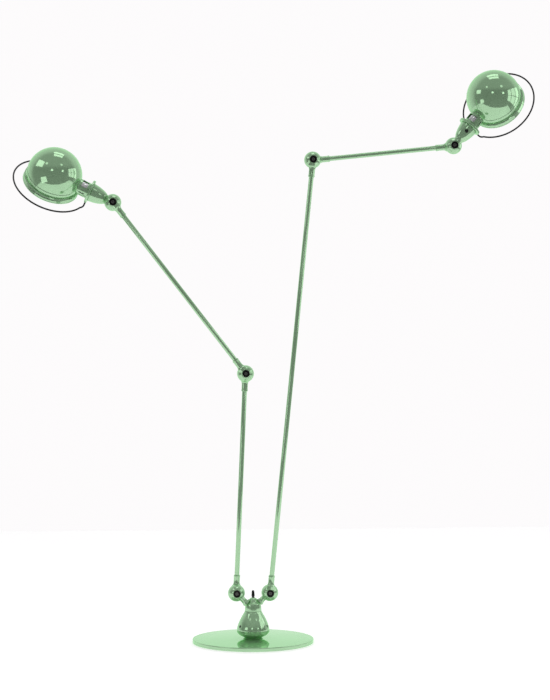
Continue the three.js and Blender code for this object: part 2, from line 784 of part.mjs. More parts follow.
function shade() {
  const innerRadius = SHADE_RADIUS - SHADE_WALL
  const seam = RIM_START - RIM_STEP
  const seamRadius = Math.sqrt(SHADE_RADIUS ** 2 - seam ** 2)
  const outerAngle = THREE.MathUtils.radToDeg(Math.asin(seam / SHADE_RADIUS))
  const shell = revolve(
    [
      ...arc(0, 0, SHADE_RADIUS, SHADE_RADIUS, -90, outerAngle, 6),
      [RIM_RADIUS, RIM_START],
      [RIM_RADIUS, RIM_END],
      [RIM_RADIUS - SHADE_WALL, RIM_END],
      [RIM_RADIUS - SHADE_WALL, RIM_START + SHADE_WALL],
      [seamRadius - SHADE_WALL, seam + SHADE_WALL],
      ...arc(0, 0, innerRadius, innerRadius, outerAngle - 2, -90, 6),
    ],
    SHADE_SIDES,
  )
  const collarHole = rod(collarRadius + FIT, -RIM_RADIUS - OVERCUT, 0, NECK_SIDES)
  return cut(shell.rotateY(Math.PI / 2), collarHole.translate(-SHADE_OFFSET, 0, 0))
    .translate(SHADE_OFFSET, 0, shadeCentre)
}

function handleRing() {
  const plug = (side, radius) => {
    const angle = side * ringPlugAngle
    return new THREE.Vector3(radius * Math.cos(angle), radius * Math.sin(angle), ringPlugHeight)
  }
  const bend = ringOffset / Math.cos(ringPlugAngle) - WIRE_RADIUS * 0.75
  const hook = (side) => [plug(side, ringPlugEnd), plug(side, (ringPlugEnd + bend) / 2), plug(side, bend)]
  const points = hook(-1)
  const arcSteps = 28
  const reach = Math.PI - RING_GAP_HALF_ANGLE - 0.04
  for (let i = 0; i <= arcSteps; i++) {
    const angle = -reach + (2 * reach * i) / arcSteps
    const across = RING_RADIUS * Math.sin(angle)
    points.push(new THREE.Vector3(ringOffset, across, ringCentre + RING_RADIUS * Math.cos(angle)))
  }
  points.push(...hook(1).reverse())
  const section = new THREE.Shape()
  section.absarc(0, 0, WIRE_RADIUS, 0, 2 * Math.PI)
  return new THREE.ExtrudeGeometry(section, {
    steps: WIRE_STEPS,
    curveSegments: WIRE_SIDES / 2,
    bevelEnabled: false,
    extrudePath: new THREE.CatmullRomCurve3(points),
  })
}

function addHead(name, side, swivel, frame) {
  const neck = new THREE.Group()
  neck.position.y = side * NECK_OFFSET
  neck.add(piece(`${name}_neck_housing`, neckHousing(side), LACQUER))
  neck.add(piece(`${name}_neck_screw`, neckScrew(side), BLACK_PLASTIC))
  const head = new THREE.Group()
  head.rotation.z = THREE.MathUtils.degToRad(swivel)
  head.add(piece(`${name}_flange`, flange(), LACQUER))
  head.add(piece(`${name}_collar`, collar(), LACQUER))
  head.add(piece(`${name}_lampholder`, lampholder(), CHROME))
  head.add(piece(`${name}_bulb`, bulb(), OPAL_GLASS))
  head.add(piece(`${name}_shade`, shade(), LACQUER))
  head.add(piece(`${name}_handle_ring`, handleRing(), BLACK_LACQUER))
  neck.add(head)
  frame.add(neck)
}

// The whole lamp

const lamp = new THREE.Group()
lamp.add(piece('base_plate', basePlate(), LACQUER))
lamp.add(piece('foot_pad', footPad(), RUBBER))
lamp.add(piece('pear_bowl', pearBowl(), LACQUER))
lamp.add(piece('pear_bell', pearBell(), LACQUER))
for (const [name, side] of [['left', -1], ['right', 1]]) {
  lamp.add(piece(`pear_screw_${name}`, toScrewPlace(pearScrew(), side), BLACK_PLASTIC))
}
lamp.add(piece('centre_stud', centreStud(), STEEL))
const grommet = piece('cable_grommet', cableGrommet(), RUBBER)
grommet.position.z = seamHeight - GROMMET_HEIGHT
grommet.rotation.x = -Math.PI / 2
lamp.add(grommet)
lamp.add(piece('yoke_cap', yokeCap(), LACQUER))
const lever = piece('switch_lever', switchLever(), BLACK_PLASTIC)
lever.position.z = leverPivot
lever.rotation.x = -LEVER_TILT
lamp.add(lever)

for (const [name, side] of [['left', -1], ['right', 1]]) {
  const arm = ARMS[name]
  const baseX = side * FORK_SPREAD
  const lowerAngle = THREE.MathUtils.degToRad(arm.lowerAngle)
  const upperAngle = THREE.MathUtils.degToRad(arm.upperAngle)
  const elbowX = baseX + arm.lower * Math.cos(lowerAngle)
  const elbowZ = forkHeight + arm.lower * Math.sin(lowerAngle)
  const wristX = elbowX + arm.upper * Math.cos(upperAngle)
  const wristZ = elbowZ + arm.upper * Math.sin(upperAngle)

  const fork = armFrame(baseX, forkHeight, branchAngle(side))
  addHalf(`${name}_base_joint`, side, 'stub', fork)
  const lower = armFrame(baseX, forkHeight, arm.lowerAngle)
  addArm(`${name}_lower`, -side, `${name}_base_joint`, `${name}_elbow`, arm.lower, lower)
  const upper = armFrame(elbowX, elbowZ, arm.upperAngle)
  addArm(`${name}_upper`, side, `${name}_elbow`, `${name}_wrist`, arm.upper, upper)
  const neck = armFrame(wristX, wristZ, arm.neckAngle)
  addHalf(`${name}_wrist`, -side, 'stub', neck)
  addHead(name, -side, arm.swivel, neck)
  lamp.add(fork, lower, upper, neck)
}

export default lamp
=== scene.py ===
"""Finished looks of a floor lamp with two jointed arms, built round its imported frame.

Every shape is made in millimetres about its own joint, then placed in the row frame in metres.
"""

import json
import math

import bmesh
import bpy
from mathutils import Matrix, Vector


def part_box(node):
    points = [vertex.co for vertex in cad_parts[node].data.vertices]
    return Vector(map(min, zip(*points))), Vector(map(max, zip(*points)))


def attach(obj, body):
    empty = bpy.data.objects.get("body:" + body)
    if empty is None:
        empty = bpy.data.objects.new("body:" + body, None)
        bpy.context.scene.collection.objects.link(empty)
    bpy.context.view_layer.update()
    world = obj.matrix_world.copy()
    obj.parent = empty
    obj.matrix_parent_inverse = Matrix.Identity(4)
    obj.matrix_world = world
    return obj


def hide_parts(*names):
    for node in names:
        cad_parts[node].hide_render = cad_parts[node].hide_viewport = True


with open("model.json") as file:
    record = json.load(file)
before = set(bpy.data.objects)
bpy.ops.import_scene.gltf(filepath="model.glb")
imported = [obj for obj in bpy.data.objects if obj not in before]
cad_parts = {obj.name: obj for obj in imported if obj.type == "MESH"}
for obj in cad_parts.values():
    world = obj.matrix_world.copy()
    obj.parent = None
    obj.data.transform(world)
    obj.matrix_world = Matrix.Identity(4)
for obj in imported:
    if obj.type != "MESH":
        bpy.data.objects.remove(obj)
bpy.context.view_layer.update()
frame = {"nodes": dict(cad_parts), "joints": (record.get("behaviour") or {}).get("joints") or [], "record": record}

# Clearances, in millimetres as all sizes below
FIT = 0.3
OVERCUT = 1.0

# Base and post
BASE_RADIUS = 165.0
BASE_HEIGHT = 11.0
PAD_RADIUS = 153.0
PAD_THICKNESS = 2.0
PEAR_RADIUS = 44.5
PEAR_WALL = 3.0
FOOT_RADIUS = 28.0
WAIST_RADIUS = 21.0
BOWL_DEPTH = 21.5
BELL_HEIGHT = 52.0
SPIGOT_HEIGHT = 19.0
SPIGOT_RADIUS = 35.4
STUD_RADIUS = 6.0
PEAR_SCREW_HEIGHT = 13.0
PEAR_SCREW_SPREAD = math.radians(62)
SCREW_RADIUS = 2.0
SCREW_HEAD_RADIUS = 3.2
SCREW_HEAD_HEIGHT = 2.4
GROMMET_RADIUS = 6.0
GROMMET_HEIGHT = 9.0
CABLE_RADIUS = 3.5

# Forked cap and switch
CAP_RADIUS = 22.75
CAP_HEIGHT = 23.0
CAP_WALL = 3.5
CAP_DOME_RADIUS = 14.0
BRANCH_RADIUS = 7.5
BRANCH_ANGLE = 45.0
BRANCH_START = 12.0
BRANCH_END = 44.0
BRANCH_FLARE = ((0, 24), (0.1, 27), (0.6, 31), (2, 35), (3, 38))
LEVER_STEM_RADIUS = 2.4
LEVER_HOLE_RADIUS = LEVER_STEM_RADIUS * 1.9
LEVER_TIP_RADIUS = 4.3
LEVER_LENGTH = 26.0
LEVER_TILT = math.radians(12)

# Ball joints and tubes
BALL_RADIUS = 23.0
BALL_WALL = 3.5
NECK_OFFSET = 10.0
TUBE_RADIUS = 6.5
TUBE_WALL = 1.5
FERRULE_RADIUS = 8.3
FERRULE_REACH = 48.0
FERRULE_START = 10.0
FERRULE_FLARE = ((4.2, 18.5), (1.7, 22), (0.4, 26), (0, 30))
SOCKET_FLOOR = 30.0
STUB_RADIUS = 5.5
STUB_REACH = 36.0
CUP_RADIUS = 10.0
CUP_DEPTH = 8.0
CUP_RECESS_RADIUS = 7.0
CUP_RECESS_DEPTH = 5.0
CUP_LEDGE = 3.5
BOSS_RADIUS = 6.0
BOSS_START = 8.0
WALL_LAP = 0.4
CLEARING_SIZE = 120.0
BOLT_RADIUS = 2.5
BOLT_HEAD_RADIUS = 4.8
BOLT_HEAD_HEIGHT = 3.0
BOLT_SOCKET_RADIUS = 2.3

# Heads: distances along the neck start at the wrist ball's centre
HOUSING_ROOT_RADIUS = 12.8
HOUSING_RADIUS = 25.0
HOUSING_LENGTH = 44.2
HOUSING_WALL = 2.5
HOUSING_LAP = 0.7
NECK_SCREW_SETBACK = 16.2
WEB_THICKNESS = 3.0
WEB_DEPTH = 7.0
HUB_RADIUS = 12.0
HUB_LENGTH = 20.0
HUB_CLEARANCE = 2.0
WIRE_WAY_RADIUS = 8.0
FLANGE_RADIUS = 32.5
FLANGE_THICKNESS = 6.8
COLLAR_RADIUS = 21.5
COLLAR_WALL = 2.2
COLLAR_LENGTH = 41.7
COLLAR_BAND = 7.0
WINDOW_WIDTH = 30.0
WINDOW_LENGTH = 17.0
SLOT_WIDTH = 4.0
SLOT_START = math.radians(35)
SLOT_STEP = math.radians(27)
HOLDER_RADIUS = 17.0
HOLDER_WALL = 2.0
HOLDER_FLOOR = 3.0
KNURLS = 48
BULB_RADIUS = 30.0
BULB_CAP_RADIUS = 13.0
BULB_CAP_LENGTH = 26.0
BULB_LENGTH = 105.0
SHADE_RADIUS = 75.0
SHADE_WALL = 1.6
SHADE_OFFSET = 2.0
COLLAR_LAP = 14.8
RIM_RADIUS = 78.0
RIM_START = 23.0
RIM_STEP = 3.0
RIM_END = 35.0
RING_RADIUS = 103.0
RING_CLEARANCE = 9.0
RING_GAP_HALF_ANGLE = math.radians(12.5)
RING_RISE = 2.1
WIRE_RADIUS = 2.25
WIRE_PLUG_DEPTH = 5.0
WIRE_BEND = 7.0

# Heights and distances that several pieces share
BOWL_BOTTOM = BASE_HEIGHT + FIT
SEAM_HEIGHT = BOWL_BOTTOM + BOWL_DEPTH
BELL_BOTTOM = SEAM_HEIGHT + FIT
BELL_TOP = BELL_BOTTOM + BELL_HEIGHT
CAP_BOTTOM = BELL_TOP + FIT
CAP_TOP = CAP_BOTTOM + CAP_HEIGHT
LEVER_PIVOT = CAP_TOP + CAP_DOME_RADIUS / 2
SPIGOT_INNER = SPIGOT_RADIUS - PEAR_WALL
CUP_MOUTH = math.sqrt(BALL_RADIUS**2 - (CUP_RADIUS + FIT) ** 2)
CUP_SEAT = CUP_MOUTH - CUP_DEPTH
BOLT_END = BALL_RADIUS - BALL_WALL - BOLT_HEAD_HEIGHT
HOUSING_START = math.sqrt(BALL_RADIUS**2 - NECK_OFFSET**2) - HOUSING_LAP
HOUSING_ROOT = BALL_RADIUS / 2
HOUSING_END = HOUSING_START + HOUSING_LENGTH
FLANGE_BOTTOM = HOUSING_END + FIT
FLANGE_TOP = FLANGE_BOTTOM + FLANGE_THICKNESS
COLLAR_BOTTOM = FLANGE_TOP + FIT
COLLAR_TOP = COLLAR_BOTTOM + COLLAR_LENGTH
COLLAR_INNER = COLLAR_RADIUS - COLLAR_WALL
SHADE_CENTRE = COLLAR_TOP - COLLAR_LAP + SHADE_RADIUS
RING_OFFSET = FLANGE_RADIUS + RING_CLEARANCE
RING_PLUG_HEIGHT = FLANGE_BOTTOM + FLANGE_THICKNESS / 2
RING_CENTRE = RING_PLUG_HEIGHT + RING_RADIUS + RING_RISE
RING_PLUG_ANGLE = math.atan2(RING_RADIUS * math.sin(RING_GAP_HALF_ANGLE), RING_OFFSET)

# How finely round things are made
WIDE_SIDES = 160
ROUND_SIDES = 72
SMALL_SIDES = 40
RING_STEPS = 150

MM = Matrix.Scale(0.001, 4)
JOINTS = {joint["name"]: joint for joint in frame["joints"]}
BODY_OF = {
    node: body
    for body, nodes in frame["record"]["behaviour"]["bodies"].items()
    for node in nodes
}


# Node trees


class Number:
    """A number inside a node tree, which can be added, multiplied and so on."""

    def __init__(self, graph, socket):
        self.graph = graph
        self.socket = socket

    def __add__(self, other):
        return self.graph.math("ADD", self, other)

    def __radd__(self, other):
        return self.graph.math("ADD", other, self)

    def __sub__(self, other):
        return self.graph.math("SUBTRACT", self, other)

    def __rsub__(self, other):
        return self.graph.math("SUBTRACT", other, self)

    def __mul__(self, other):
        return self.graph.math("MULTIPLY", self, other)

    def __rmul__(self, other):
        return self.graph.math("MULTIPLY", other, self)

    def __truediv__(self, other):
        return self.graph.math("DIVIDE", self, other)

    def __rtruediv__(self, other):
        return self.graph.math("DIVIDE", other, self)

    def __pow__(self, other):
        return self.graph.math("POWER", self, other)


class Graph:
    """Adds nodes to one node tree."""

    def __init__(self, tree):
        self.tree = tree

    def node(self, kind, settings=None, inputs=None):
        """A new node: its settings first, then a value or a link for each input."""
        made = self.tree.nodes.new(kind)
        for name, value in (settings or {}).items():
            setattr(made, name, value)
        for key, value in (inputs or {}).items():
            value = getattr(value, "socket", value)
            if isinstance(value, bpy.types.NodeSocket):
                self.tree.links.new(value, made.inputs[key])
            else:
                made.inputs[key].default_value = value
        return made

    def shape(self, kind, inputs=None):
        """What comes out first from a new geometry node."""
        return self.node(kind, inputs=inputs).outputs[0]

    def number(self, made, output=0):
        return Number(self, made.outputs[output])

    def math(self, operation, *terms):
        return self.number(self.node("ShaderNodeMath", {"operation": operation}, dict(enumerate(terms))))

    def parts(self, vector):
        """The x, y and z of a vector socket."""
        made = self.node("ShaderNodeSeparateXYZ", inputs={0: vector})
        return [self.number(made, k) for k in range(3)]

    def step(self, value, low, high):
        """0 below low and 1 above high, smooth between."""
        made = self.node(
            "ShaderNodeMapRange",
            {"interpolation_type": "SMOOTHSTEP"},
            {"Value": value, "From Min": low, "From Max": high},
        )
        return self.number(made)

    def mix(self, factor, first, second):
        """A colour between two colours."""
        made = self.node("ShaderNodeMix", {"data_type": "RGBA"}, {0: factor, 6: first, 7: second})
        return made.outputs[2]

    def noise(self, place, scale, detail=2.0, roughness=0.5):
        made = self.node(
            "ShaderNodeTexNoise",
            inputs={"Vector": place, "Scale": scale, "Detail": detail, "Roughness": roughness},
        )
        return self.number(made)

    def bump(self, height, distance, strength=1.0):
        made = self.node(
            "ShaderNodeBump", inputs={"Strength": strength, "Distance": distance, "Height": height}
        )
        return made.outputs[0]


# Materials. Each function gives its surface's inputs, from a graph and object coordinates in metres.


def green_lacquer(graph, place):
    """Tinted gloss lacquer over bright metal: faint orange peel, colour drift and a few hazy patches."""
    drift = graph.noise(place, 9.0, 3.0)
    haze = graph.step(graph.noise(place, 38.0, 4.0, 0.6), 0.45, 0.8)
    peel = graph.noise(place, 520.0, 1.0)
    dust = graph.step(graph.noise(place, 2600.0, 2.0), 0.62, 0.85)
    colour = graph.mix(drift, (0.425, 0.685, 0.415, 1), (0.475, 0.735, 0.465, 1))
    return {
        "Base Color": colour,
        "Metallic": 0.62,
        "Roughness": 0.07 + haze * 0.05 + dust * 0.05,
        "Specular IOR Level": 0.35,
        "Specular Tint": (0.62, 0.98, 0.62, 1),
        "Coat Weight": 0.06,
        "Coat Roughness": 0.03,
        "Normal": graph.bump(peel + dust * 0.2, 0.00002, 0.35),
    }


def white_enamel(graph, place):
    """Satin white enamel inside the shades, with the fine grain of sprayed paint."""
    grain = graph.noise(place, 1500.0, 2.0)
    drift = graph.noise(place, 22.0, 3.0)
    colour = graph.mix(drift, (0.80, 0.80, 0.77, 1), (0.86, 0.86, 0.84, 1))
    return {
        "Base Color": colour,
        "Roughness": 0.32 + grain * 0.12,
        "Normal": graph.bump(grain, 0.00004, 0.5),
    }


def black_lacquer(graph, place):
    """Gloss black paint on wire, a little uneven."""
    runs = graph.noise(place, 260.0, 2.0)
    scuff = graph.step(graph.noise(place, 90.0, 5.0, 0.7), 0.58, 0.75)
    colour = graph.mix(scuff, (0.006, 0.006, 0.007, 1), (0.022, 0.022, 0.023, 1))
    return {
        "Base Color": colour,
        "Roughness": 0.3 + scuff * 0.2,
        "Specular IOR Level": 0.3,
        "Normal": graph.bump(runs, 0.00004, 0.5),
    }


def black_plastic(graph, place):
    """Moulded black plastic with a fine spark grain and lighter rubbed spots."""
    grain = graph.noise(place, 3200.0, 2.0)
    rub = graph.step(graph.noise(place, 160.0, 4.0, 0.6), 0.55, 0.8)
    colour = graph.mix(rub, (0.010, 0.010, 0.010, 1), (0.030, 0.029, 0.028, 1))
    return {
        "Base Color": colour,
        "Roughness": 0.4 + grain * 0.16 - rub * 0.08,
        "Specular IOR Level": 0.25,
        "Normal": graph.bump(grain, 0.00003, 0.6),
    }


def metal(graph, place, dark, light, roughness, grain_scale):
    """Bare metal with turning marks, fingerprints and a slight colour drift."""
    marks = graph.noise(place, grain_scale, 3.0, 0.7)
    prints = graph.step(graph.noise(place, 120.0, 4.0, 0.6), 0.45, 0.75)
    return {
        "Base Color": graph.mix(marks, dark, light),
        "Metallic": 1.0,
        "Roughness": roughness + marks * 0.06 + prints * 0.1,
        "Normal": graph.bump(marks, 0.00001, 0.4),
    }


def board(graph, place):
    """Brown fibre board: short fibres pressed flat, and lighter flecks."""
    squeeze = graph.node("ShaderNodeVectorMath", {"operation": "MULTIPLY"}, {0: place, 1: (1.0, 4.0, 1.0)})
    fibre = graph.noise(squeeze.outputs[0], 900.0, 5.0, 0.7)
    fleck = graph.step(graph.noise(place, 1800.0, 2.0), 0.6, 0.75)
    colour = graph.mix(fibre, (0.055, 0.022, 0.010, 1), (0.13, 0.058, 0.028, 1))
    return {
        "Base Color": graph.mix(fleck * 0.5, colour, (0.22, 0.12, 0.06, 1)),
        "Roughness": 0.55 + fibre * 0.2,
        "Normal": graph.bump(fibre, 0.00008, 0.6),
    }


def rubber(graph, place):
    """Matt black rubber with a pebbled skin and a film of dust."""
    pebble = graph.noise(place, 1400.0, 3.0)
    dust = graph.step(graph.noise(place, 45.0, 5.0, 0.7), 0.45, 0.75)
    colour = graph.mix(dust, (0.012, 0.012, 0.012, 1), (0.045, 0.044, 0.042, 1))
    return {
        "Base Color": colour,
        "Roughness": 0.75 + pebble * 0.15,
        "Normal": graph.bump(pebble, 0.00015, 0.7),
    }


def opal_glass(graph, place):
    """Milky blown glass, smooth outside, with faint cloudiness inside it."""
    cloud = graph.noise(place, 70.0, 3.0)
    ripple = graph.noise(place, 240.0, 1.0)
    return {
        "Base Color": graph.mix(cloud, (0.86, 0.85, 0.82, 1), (0.93, 0.92, 0.90, 1)),
        "Roughness": 0.1 + cloud * 0.08,
        "Subsurface Weight": 0.6,
        "Subsurface Radius": (0.01, 0.01, 0.009),
        "Subsurface Scale": 0.5,
        "Coat Weight": 0.5,
        "Normal": graph.bump(ripple, 0.00004, 0.3),
    }


def pale_floor(graph, place):
    """Plain pale studio floor with the faintest unevenness."""
    drift = graph.noise(place, 1.3, 3.0)
    fine = graph.noise(place, 90.0, 3.0)
    return {
        "Base Color": graph.mix(drift, (0.80, 0.795, 0.80, 1), (0.83, 0.825, 0.83, 1)),
        "Roughness": 0.6 + fine * 0.1,
        "Specular IOR Level": 0.2,
        "Emission Color": (1.0, 0.99, 0.995, 1),
        "Emission Strength": 0.5,
    }


def material(describe, name=None, *values):
    """The node material whose surface a function describes."""
    made = bpy.data.materials.new(name or describe.__name__)
    made.use_nodes = True
    made.node_tree.nodes.clear()
    graph = Graph(made.node_tree)
    place = graph.node("ShaderNodeTexCoord").outputs["Object"]
    surface = graph.node("ShaderNodeBsdfPrincipled", inputs=describe(graph, place, *values))
    graph.node("ShaderNodeOutputMaterial", inputs={"Surface": surface.outputs[0]})
    return made


LACQUER = material(green_lacquer)
ENAMEL = material(white_enamel)
BLACK_WIRE = material(black_lacquer)
PLASTIC = material(black_plastic)
STEEL = material(metal, "steel", (0.10, 0.10, 0.095, 1), (0.20, 0.20, 0.19, 1), 0.42, 700.0)
BLACK_STEEL = material(metal, "blackened_steel", (0.018, 0.018, 0.020, 1), (0.05, 0.05, 0.052, 1), 0.24, 900.0)
CHROME = material(metal, "chrome", (0.80, 0.81, 0.82, 1), (0.88, 0.89, 0.90, 1), 0.08, 420.0)
ZINC = material(metal, "zinc", (0.62, 0.62, 0.62, 1), (0.76, 0.76, 0.75, 1), 0.24, 800.0)
BOARD = material(board)
RUBBER = material(rubber)
GLASS = material(opal_glass)
FLOOR = material(pale_floor)

# Finishes shared by several pieces: their materials and their slot
GREEN = ([LACQUER], "green_lacquer")
BLACK = ([PLASTIC], "black_plastic")
SOFT = ([RUBBER], "rubber")


# Outlines. A point is (radius, height), and a corner is (radius, height, fillet).


def smooth_curve(points, steps=7):
    """A smooth curve through the points."""
    ends = [Vector(p) for p in (points[0], *points, points[-1])]
    curve = []
    for a, b, c, d in zip(ends, ends[1:], ends[2:], ends[3:]):
        for k in range(steps):
            t = k / steps
            slope = (c - a) * t + (2 * a - 5 * b + 4 * c - d) * t**2 + (3 * b - a - 3 * c + d) * t**3
            curve.append(tuple(b + 0.5 * slope))
    return [*curve, tuple(points[-1])]


def rounded(corners, steps=4):
    """The outline with its corners rounded."""
    outline = []
    for k, (radius, height, fillet) in enumerate(corners):
        here = Vector((radius, height))
        before = Vector(corners[k - 1][:2]) - here
        after = Vector(corners[(k + 1) % len(corners)][:2]) - here
        if not fillet:
            outline.append(tuple(here))
            continue
        reach = fillet / math.tan(before.angle(after) / 2)
        reach = min(reach, 0.49 * before.length, 0.49 * after.length)
        start = here + before.normalized() * reach
        end = here + after.normalized() * reach
        for j in range(steps + 1):
            t = j / steps
            outline.append(tuple(start * (1 - t) ** 2 + here * 2 * t * (1 - t) + end * t**2))
    return outline


def arc(radius, low, high, steps, centre=0.0, tall=None):
    """Points on a circle about (0, centre), from one angle above the level to another, in degrees."""
    angles = [math.radians(low + (high - low) * k / steps) for k in range(steps + 1)]
    return [(radius * math.cos(a), centre + (tall or radius) * math.sin(a)) for a in angles]


# Meshes


def turned(outline, sides=ROUND_SIDES, lined=()):
    """A closed mesh turned about +Z. Bands from lined[0] up to lined[1] take the second material."""
    work = bmesh.new()
    rings = []
    for radius, height in outline:
        if radius < 1e-5:
            rings.append([work.verts.new((0, 0, height))])
            continue
        turns = [2 * math.pi * k / sides for k in range(sides)]
        rings.append([work.verts.new((radius * math.cos(a), radius * math.sin(a), height)) for a in turns])
    bands = list(zip(rings, rings[1:]))
    if len(rings[0]) > 1:
        bands.append((rings[-1], rings[0]))
    for index, (first, second) in enumerate(bands):
        for k in range(sides):
            loop = [first[k % len(first)], first[(k + 1) % len(first)]]
            loop += [second[(k + 1) % len(second)], second[k % len(second)]]
            face = work.faces.new(list(dict.fromkeys(loop)))
            face.material_index = 1 if lined and lined[0] <= index < lined[1] else 0
    bmesh.ops.recalc_face_normals(work, faces=work.faces)
    return as_mesh(work)


def as_mesh(work):
    mesh = bpy.data.meshes.new("shape")
    work.to_mesh(mesh)
    work.free()
    return mesh


def rod(radius, low, high, sides=SMALL_SIDES):
    return turned([(0, low), (radius, low), (radius, high), (0, high)], sides)


def ball(radius, sides=ROUND_SIDES):
    inner = arc(radius, -90, 90, sides // 2)[1:-1]
    return turned([(0, -radius), *inner, (0, radius)], sides)


def block(width, depth, height, fillet, steps=5):
    """A block about the origin whose edges along X are rounded."""
    work = bmesh.new()
    half_depth, half_height = depth / 2 - fillet, height / 2 - fillet
    outline = []
    for quarter, (y, z) in enumerate([(1, 1), (-1, 1), (-1, -1), (1, -1)]):
        for k in range(steps + 1):
            a = math.pi / 2 * (quarter + k / steps)
            outline.append((y * half_depth + fillet * math.cos(a), z * half_height + fillet * math.sin(a)))
    ends = [[work.verts.new((x, y, z)) for y, z in outline] for x in (-width / 2, width / 2)]
    work.faces.new(ends[0])
    work.faces.new(ends[1])
    for k in range(len(outline)):
        j = (k + 1) % len(outline)
        work.faces.new([ends[0][k], ends[0][j], ends[1][j], ends[1][k]])
    bmesh.ops.recalc_face_normals(work, faces=work.faces)
    return as_mesh(work)


def moved(mesh, *steps):
    """The mesh after turns and shifts, each a matrix or a shift, in order."""
    for step in steps:
        mesh.transform(step if isinstance(step, Matrix) else Matrix.Translation(step))
    return mesh


def turn(angle, axis):
    return Matrix.Rotation(angle, 4, axis)


def baked(holder):
    """The plain mesh that an object's modifiers make. The object goes."""
    bpy.context.view_layer.update()
    view = bpy.context.evaluated_depsgraph_get()
    mesh = bpy.data.meshes.new_from_object(holder.evaluated_get(view))
    holder.modifiers.clear()
    bpy.data.objects.remove(holder)
    return mesh


def held(mesh):
    holder = bpy.data.objects.new("work", mesh)
    bpy.context.scene.collection.objects.link(holder)
    return holder


def combined(operation, mesh, tools):
    target = held(mesh)
    helpers = [held(tool) for tool in tools]
    for helper in helpers:
        step = target.modifiers.new("step", "BOOLEAN")
        step.operation = operation
        step.solver = "EXACT"
        step.object = helper
    result = baked(target)
    for helper in helpers:
        bpy.data.objects.remove(helper)
    return result


def joined(mesh, *others):
    return combined("UNION", mesh, others)


def carved(mesh, *tools):
    return combined("DIFFERENCE", mesh, tools)


def gathered(*parts):
    """One mesh of several, each a (mesh, material number)."""
    work = bmesh.new()
    for mesh, number in parts:
        start = len(work.faces)
        work.from_mesh(mesh)
        work.faces.ensure_lookup_table()
        for face in work.faces[start:]:
            face.material_index = number
    return as_mesh(work)


def grown(tree, values):
    """The plain mesh of a geometry tree with these named inputs."""
    holder = held(bpy.data.meshes.new("grown"))
    rule = holder.modifiers.new("rule", "NODES")
    rule.node_group = tree
    for item in tree.interface.items_tree:
        if item.item_type == "SOCKET" and item.in_out == "INPUT":
            rule[item.identifier] = values[item.name]
    return baked(holder)


def geometry_tree(name, inputs):
    """An empty geometry tree with these inputs, its graph and its group input."""
    tree = bpy.data.node_groups.new(name, "GeometryNodeTree")
    tree.interface.new_socket("Geometry", in_out="OUTPUT", socket_type="NodeSocketGeometry")
    for label, kind in inputs.items():
        tree.interface.new_socket(label, in_out="INPUT", socket_type="NodeSocket" + kind)
    graph = Graph(tree)
    return tree, graph, graph.node("NodeGroupInput").outputs


def end_tree(graph, geometry, coat):
    whole = graph.shape("GeometryNodeRealizeInstances", {"Geometry": geometry})
    coated = graph.shape("GeometryNodeSetMaterial", {"Geometry": whole, "Material": coat})
    graph.node("NodeGroupOutput", inputs={0: coated})


BAR_SIZES = ("First", "Step", "Radius", "Height", "Width", "Depth", "Length")


def ring_of_bars_tree():
    """Round-ended bars stood on a circle, each one pointing outwards and parallel to the circle's axis."""
    inputs = {"Count": "Int", **dict.fromkeys(BAR_SIZES, "Float"), "Material": "Material"}
    tree, graph, given = geometry_tree("ring_of_bars", inputs)
    first, step, radius, _, width, _, length = [Number(graph, given[name]) for name in BAR_SIZES]
    bar = graph.shape(
        "GeometryNodeMeshCylinder", {"Vertices": 20, "Radius": width * 0.5, "Depth": given["Depth"]}
    )
    lying = graph.shape("GeometryNodeTransform", {"Geometry": bar, "Rotation": (0, math.pi / 2, 0)})
    height = graph.parts(graph.shape("GeometryNodeInputPosition"))[2]
    stretch = (length - width) * 0.5
    rise = graph.shape("ShaderNodeCombineXYZ", {2: graph.math("SIGN", height) * stretch})
    long = graph.shape("GeometryNodeSetPosition", {"Geometry": lying, "Offset": rise})
    angle = first + graph.number(graph.node("GeometryNodeInputIndex")) * step
    x, y = graph.math("COSINE", angle) * radius, graph.math("SINE", angle) * radius
    foot = graph.shape("ShaderNodeCombineXYZ", {0: x, 1: y, 2: given["Height"]})
    facing = graph.shape("ShaderNodeCombineXYZ", {2: angle})
    points = graph.shape("GeometryNodePoints", {"Count": given["Count"], "Position": foot})
    copies = graph.shape(
        "GeometryNodeInstanceOnPoints", {"Points": points, "Instance": long, "Rotation": facing}
    )
    end_tree(graph, copies, given["Material"])
    return tree


def thread_tree():
    """A round thread that winds up a cylinder."""
    tree, graph, given = geometry_tree(
        "thread",
        {"Turns": "Float", "Radius": "Float", "Rise": "Float", "Thickness": "Float", "Material": "Material"},
    )
    path = graph.shape(
        "GeometryNodeCurveSpiral",
        {
            "Resolution": 40,
            "Rotations": given["Turns"],
            "Start Radius": given["Radius"],
            "End Radius": given["Radius"],
            "Height": given["Rise"],
        },
    )
    section = graph.shape(
        "GeometryNodeCurvePrimitiveCircle", {"Resolution": 10, "Radius": given["Thickness"]}
    )
    coil = graph.shape(
        "GeometryNodeCurveToMesh", {"Curve": path, "Profile Curve": section, "Fill Caps": True}
    )
    end_tree(graph, coil, given["Material"])
    return tree


BARS = ring_of_bars_tree()
THREAD = thread_tree()


def bars(count, *sizes):
    """A ring of bars. The sizes are in the order of BAR_SIZES."""
    return grown(BARS, {"Count": count, **dict(zip(BAR_SIZES, sizes, strict=True)), "Material": CHROME})


def fit_piece(node, mesh, place, materials, slot, sharp=32.0):
    """Puts a finished mesh where its node is, on that node's body."""
    mesh.transform(place @ MM)
    mesh.materials.clear()
    for coat in materials:
        mesh.materials.append(coat)
    mesh.shade_smooth()
    mesh.set_sharp_from_angle(angle=math.radians(sharp))
    piece = bpy.data.objects.new(f"{node}_finished", mesh)
    bpy.context.scene.collection.objects.link(piece)
    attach(piece, BODY_OF[node])
    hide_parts(node)
    return piece


# Places


def spot(joint):
    return Vector(JOINTS[joint]["pos_m"])


